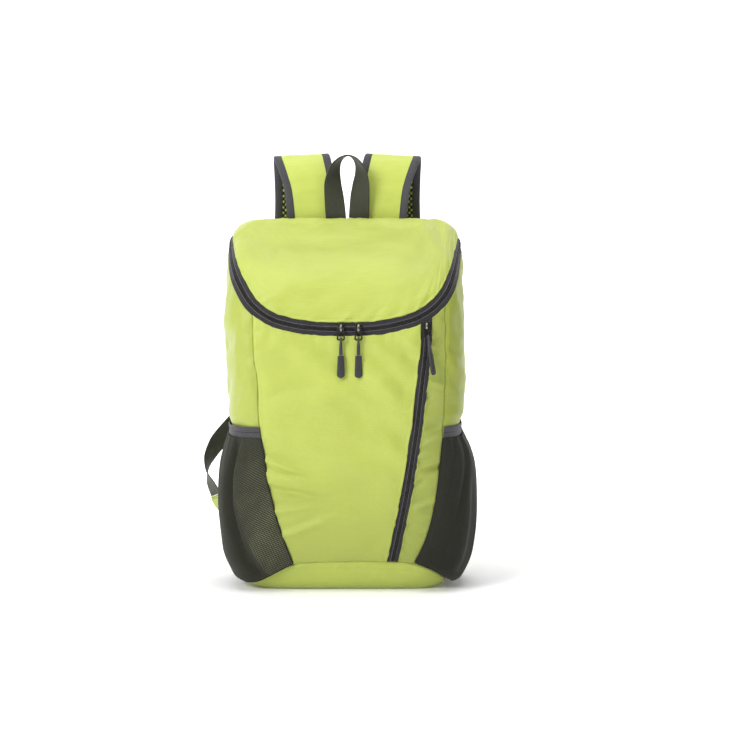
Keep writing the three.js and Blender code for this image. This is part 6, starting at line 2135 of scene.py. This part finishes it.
# The paper's half width, its front and back edge, its height and the radius of its bend, in metres
PAPER_SIZES = {"half": 6.0, "near": -3.2, "far": 2.6, "height": 3.4, "bend": 1.2}
# Each light's place and size in metres
LIGHTS = {
    "key": ((-1.65, -2.0, 1.75), (1.1, 1.1)),
    "top": ((0.0, -0.3, 2.4), (2.2, 1.8)),
    "fill": ((1.9, -2.0, 0.9), (1.6, 1.8)),
    "back": ((0.3, 1.9, 1.8), (2.2, 1.4)),
}
LIGHT_TARGET = Vector((0.0, 0.0, 0.25))
CAMERA_HEIGHT_TURN = 5
CAMERA_DISTANCE = 2.5
CAMERA_TARGET = (0.0354, 0.0, 0.25)


def area_light(name, place, size, power):
    data = bpy.data.lights.new(name, "AREA")
    data.shape = "RECTANGLE"
    data.size, data.size_y = size
    data.energy = power
    light = bpy.data.objects.new(name, data)
    bpy.context.scene.collection.objects.link(light)
    light.location = place
    light.rotation_euler = (LIGHT_TARGET - Vector(place)).to_track_quat("-Z", "Y").to_euler()


def paper_material(painted_glow):
    """Pale paper with a painted glow, weaker beside the bag as painted shade."""
    m = Maker("studio_paper", Emission_Color=(1, 1, 1, 1))
    grain = m.noise(m.object_place(), 3.0, 2.0, 0.5)
    tone = m.mix(m.spread(grain, 0.3, 0.7), (0.93, 0.93, 0.93, 1), (0.96, 0.96, 0.96, 1))
    parts = m.node("ShaderNodeSeparateXYZ")
    m.link(m.object_place(), parts.inputs[0])
    squares = [m.math("POWER", parts.outputs[k], 2.0) for k in (0, 1)]
    far_off = m.math("SQRT", m.math("ADD", *squares))
    m.link(m.spread(far_off, 0.2, 0.8, PAPER_GLOW_NEAR_BAG, painted_glow), m.shader.inputs["Emission Strength"])
    return m.finish(tone, 0.9)


def lay_paper(painted_glow):
    """The floor, which bends up into the backdrop."""
    half, near, far, height, bend = PAPER_SIZES.values()
    turns = np.linspace(0, math.pi / 2, 17)
    curve = [(far - bend + bend * math.sin(a), bend - bend * math.cos(a)) for a in turns]
    line = [(near, 0.0), *curve, (far, height)]
    mesh = bpy.data.meshes.new("studio_floor")
    points = [(x, y, z) for x in (-half, half) for y, z in line]
    count = len(line)
    faces = [(k, count + k, count + k + 1, k + 1) for k in range(count - 1)]
    mesh.from_pydata(points, [], faces)
    mesh.shade_smooth()
    mesh.materials.append(paper_material(painted_glow))
    floor = bpy.data.objects.new("studio_floor", mesh)
    bpy.context.scene.collection.objects.link(floor)


def set_camera():
    """The photograph's camera: level with the bag's middle and a little above."""
    data = bpy.data.cameras.new("photo_camera")
    data.lens, data.sensor_width, data.sensor_height = 100, 36, 36
    data.sensor_fit = "HORIZONTAL"
    data.clip_end = 50
    camera = bpy.data.objects.new("photo_camera", data)
    bpy.context.scene.collection.objects.link(camera)
    lift = CAMERA_HEIGHT_TURN * TURN
    x, _, z = CAMERA_TARGET
    camera.location = (x, -CAMERA_DISTANCE * math.cos(lift), z + CAMERA_DISTANCE * math.sin(lift))
    camera.rotation_euler = (math.pi / 2 - lift, 0, 0)
    bpy.context.scene.camera = camera


class BACKPACK_OT_stage(bpy.types.Operator):
    """Lays the pale floor, hangs the soft studio lights and sets the camera"""

    bl_idname = "backpack.stage"
    bl_label = "Stage"

    def execute(self, context):
        light = context.scene.backpack_light
        lay_paper(light.paper)
        world = bpy.data.worlds.new("studio_world")
        context.scene.world = world
        world.use_nodes = True
        background = world.node_tree.nodes["Background"]
        background.inputs["Color"].default_value = (1, 1, 1, 1)
        background.inputs["Strength"].default_value = light.world
        for name, (place, size) in LIGHTS.items():
            area_light(name + "_light", place, size, getattr(light, name))
        set_camera()
        context.scene.view_settings.view_transform = "Standard"
        return {"FINISHED"}


# Settings, panel and registration
def colour_setting(name, description, *screen):
    colour = linear(*screen)[:3]
    return FloatVectorProperty(name=name, description=description, subtype="COLOR", size=3, default=colour)


def power_setting(name, description, default):
    return FloatProperty(name=name, description=description, default=default, min=0)


class BackpackSizes(bpy.types.PropertyGroup):
    """Sizes of the cloth's detail"""

    cell: FloatProperty(name="Cell", description="Coarseness of the cloth's cells",
                        default=1.0, min=0.5, max=4)
    pucker: FloatProperty(name="Pucker", description="Depth of the gathers beside seams, in millimetres",
                          default=1.5, min=0, max=3)
    ripple: FloatProperty(name="Ripple", description="Depth of the soft ripples of a panel, in millimetres",
                          default=1.5, min=0, max=4)


class BackpackColours(bpy.types.PropertyGroup):
    """Colours of the cloths and trims"""

    lime: colour_setting("Lime Cloth", "Colour of the ripstop panels", 179, 191, 86)
    dark_trim: colour_setting("Zip Tape", "Colour of the zips' tapes", 43, 41, 42)
    grey_trim: colour_setting("Grey Trim", "Colour of bindings and elastic bands", 68, 68, 71)
    webbing: colour_setting("Webbing", "Colour of the webbing and the loop", 56, 58, 46)
    pocket_mesh: colour_setting("Pocket Mesh", "Colour of the pockets' knitted mesh", 46, 47, 38)


class BackpackLight(bpy.types.PropertyGroup):
    """Strengths of the studio's lights"""

    key: power_setting("Key", "Power of the key light, in watts", 54)
    top: power_setting("Top", "Power of the top light, in watts", 44)
    fill: power_setting("Fill", "Power of the fill light, in watts", 3)
    back: power_setting("Back", "Power of the back light, in watts", 9)
    # The paper's painted glow, weaker beside the bag as painted shade
    paper: power_setting("Paper", "How much the backdrop shines through", 0.7)
    world: power_setting("World", "Strength of the even white surroundings", 0.15)


class BACKPACK_PT_sidebar(bpy.types.Panel):
    """Lists the backpack's settings and its pieces"""

    bl_label = "Backpack"
    bl_idname = "BACKPACK_PT_sidebar"
    bl_space_type = "VIEW_3D"
    bl_region_type = "UI"
    bl_category = "Backpack"

    def draw(self, context):
        for name in GROUPS:
            group = getattr(context.scene, name)
            box = self.layout.box()
            for key in group.__annotations__:
                box.prop(group, key)
        for operator in OPERATORS:
            self.layout.operator(operator.bl_idname)


OPERATORS = (
    BACKPACK_OT_panels,
    BACKPACK_OT_zips,
    BACKPACK_OT_pockets,
    BACKPACK_OT_straps,
    BACKPACK_OT_haul_loop,
    BACKPACK_OT_webbing,
    BACKPACK_OT_pulls,
    BACKPACK_OT_stage,
)
GROUPS = {
    "backpack_sizes": BackpackSizes,
    "backpack_colours": BackpackColours,
    "backpack_light": BackpackLight,
}


def register():
    for group in (*GROUPS.values(), *OPERATORS, BACKPACK_PT_sidebar):
        bpy.utils.register_class(group)
    for name, group in GROUPS.items():
        setattr(bpy.types.Scene, name, PointerProperty(type=group))


def unregister():
    for name in GROUPS:
        delattr(bpy.types.Scene, name)
    for group in reversed((*GROUPS.values(), *OPERATORS, BACKPACK_PT_sidebar)):
        bpy.utils.unregister_class(group)


def main():
    register()
    MATERIALS.update(make_materials())
    bpy.ops.backpack.panels()
    bpy.ops.backpack.zips()
    bpy.ops.backpack.pockets()
    bpy.ops.backpack.straps()
    bpy.ops.backpack.haul_loop()
    bpy.ops.backpack.webbing()
    bpy.ops.backpack.pulls()
    bpy.ops.backpack.stage()


if __name__ == "__main__":
    main()
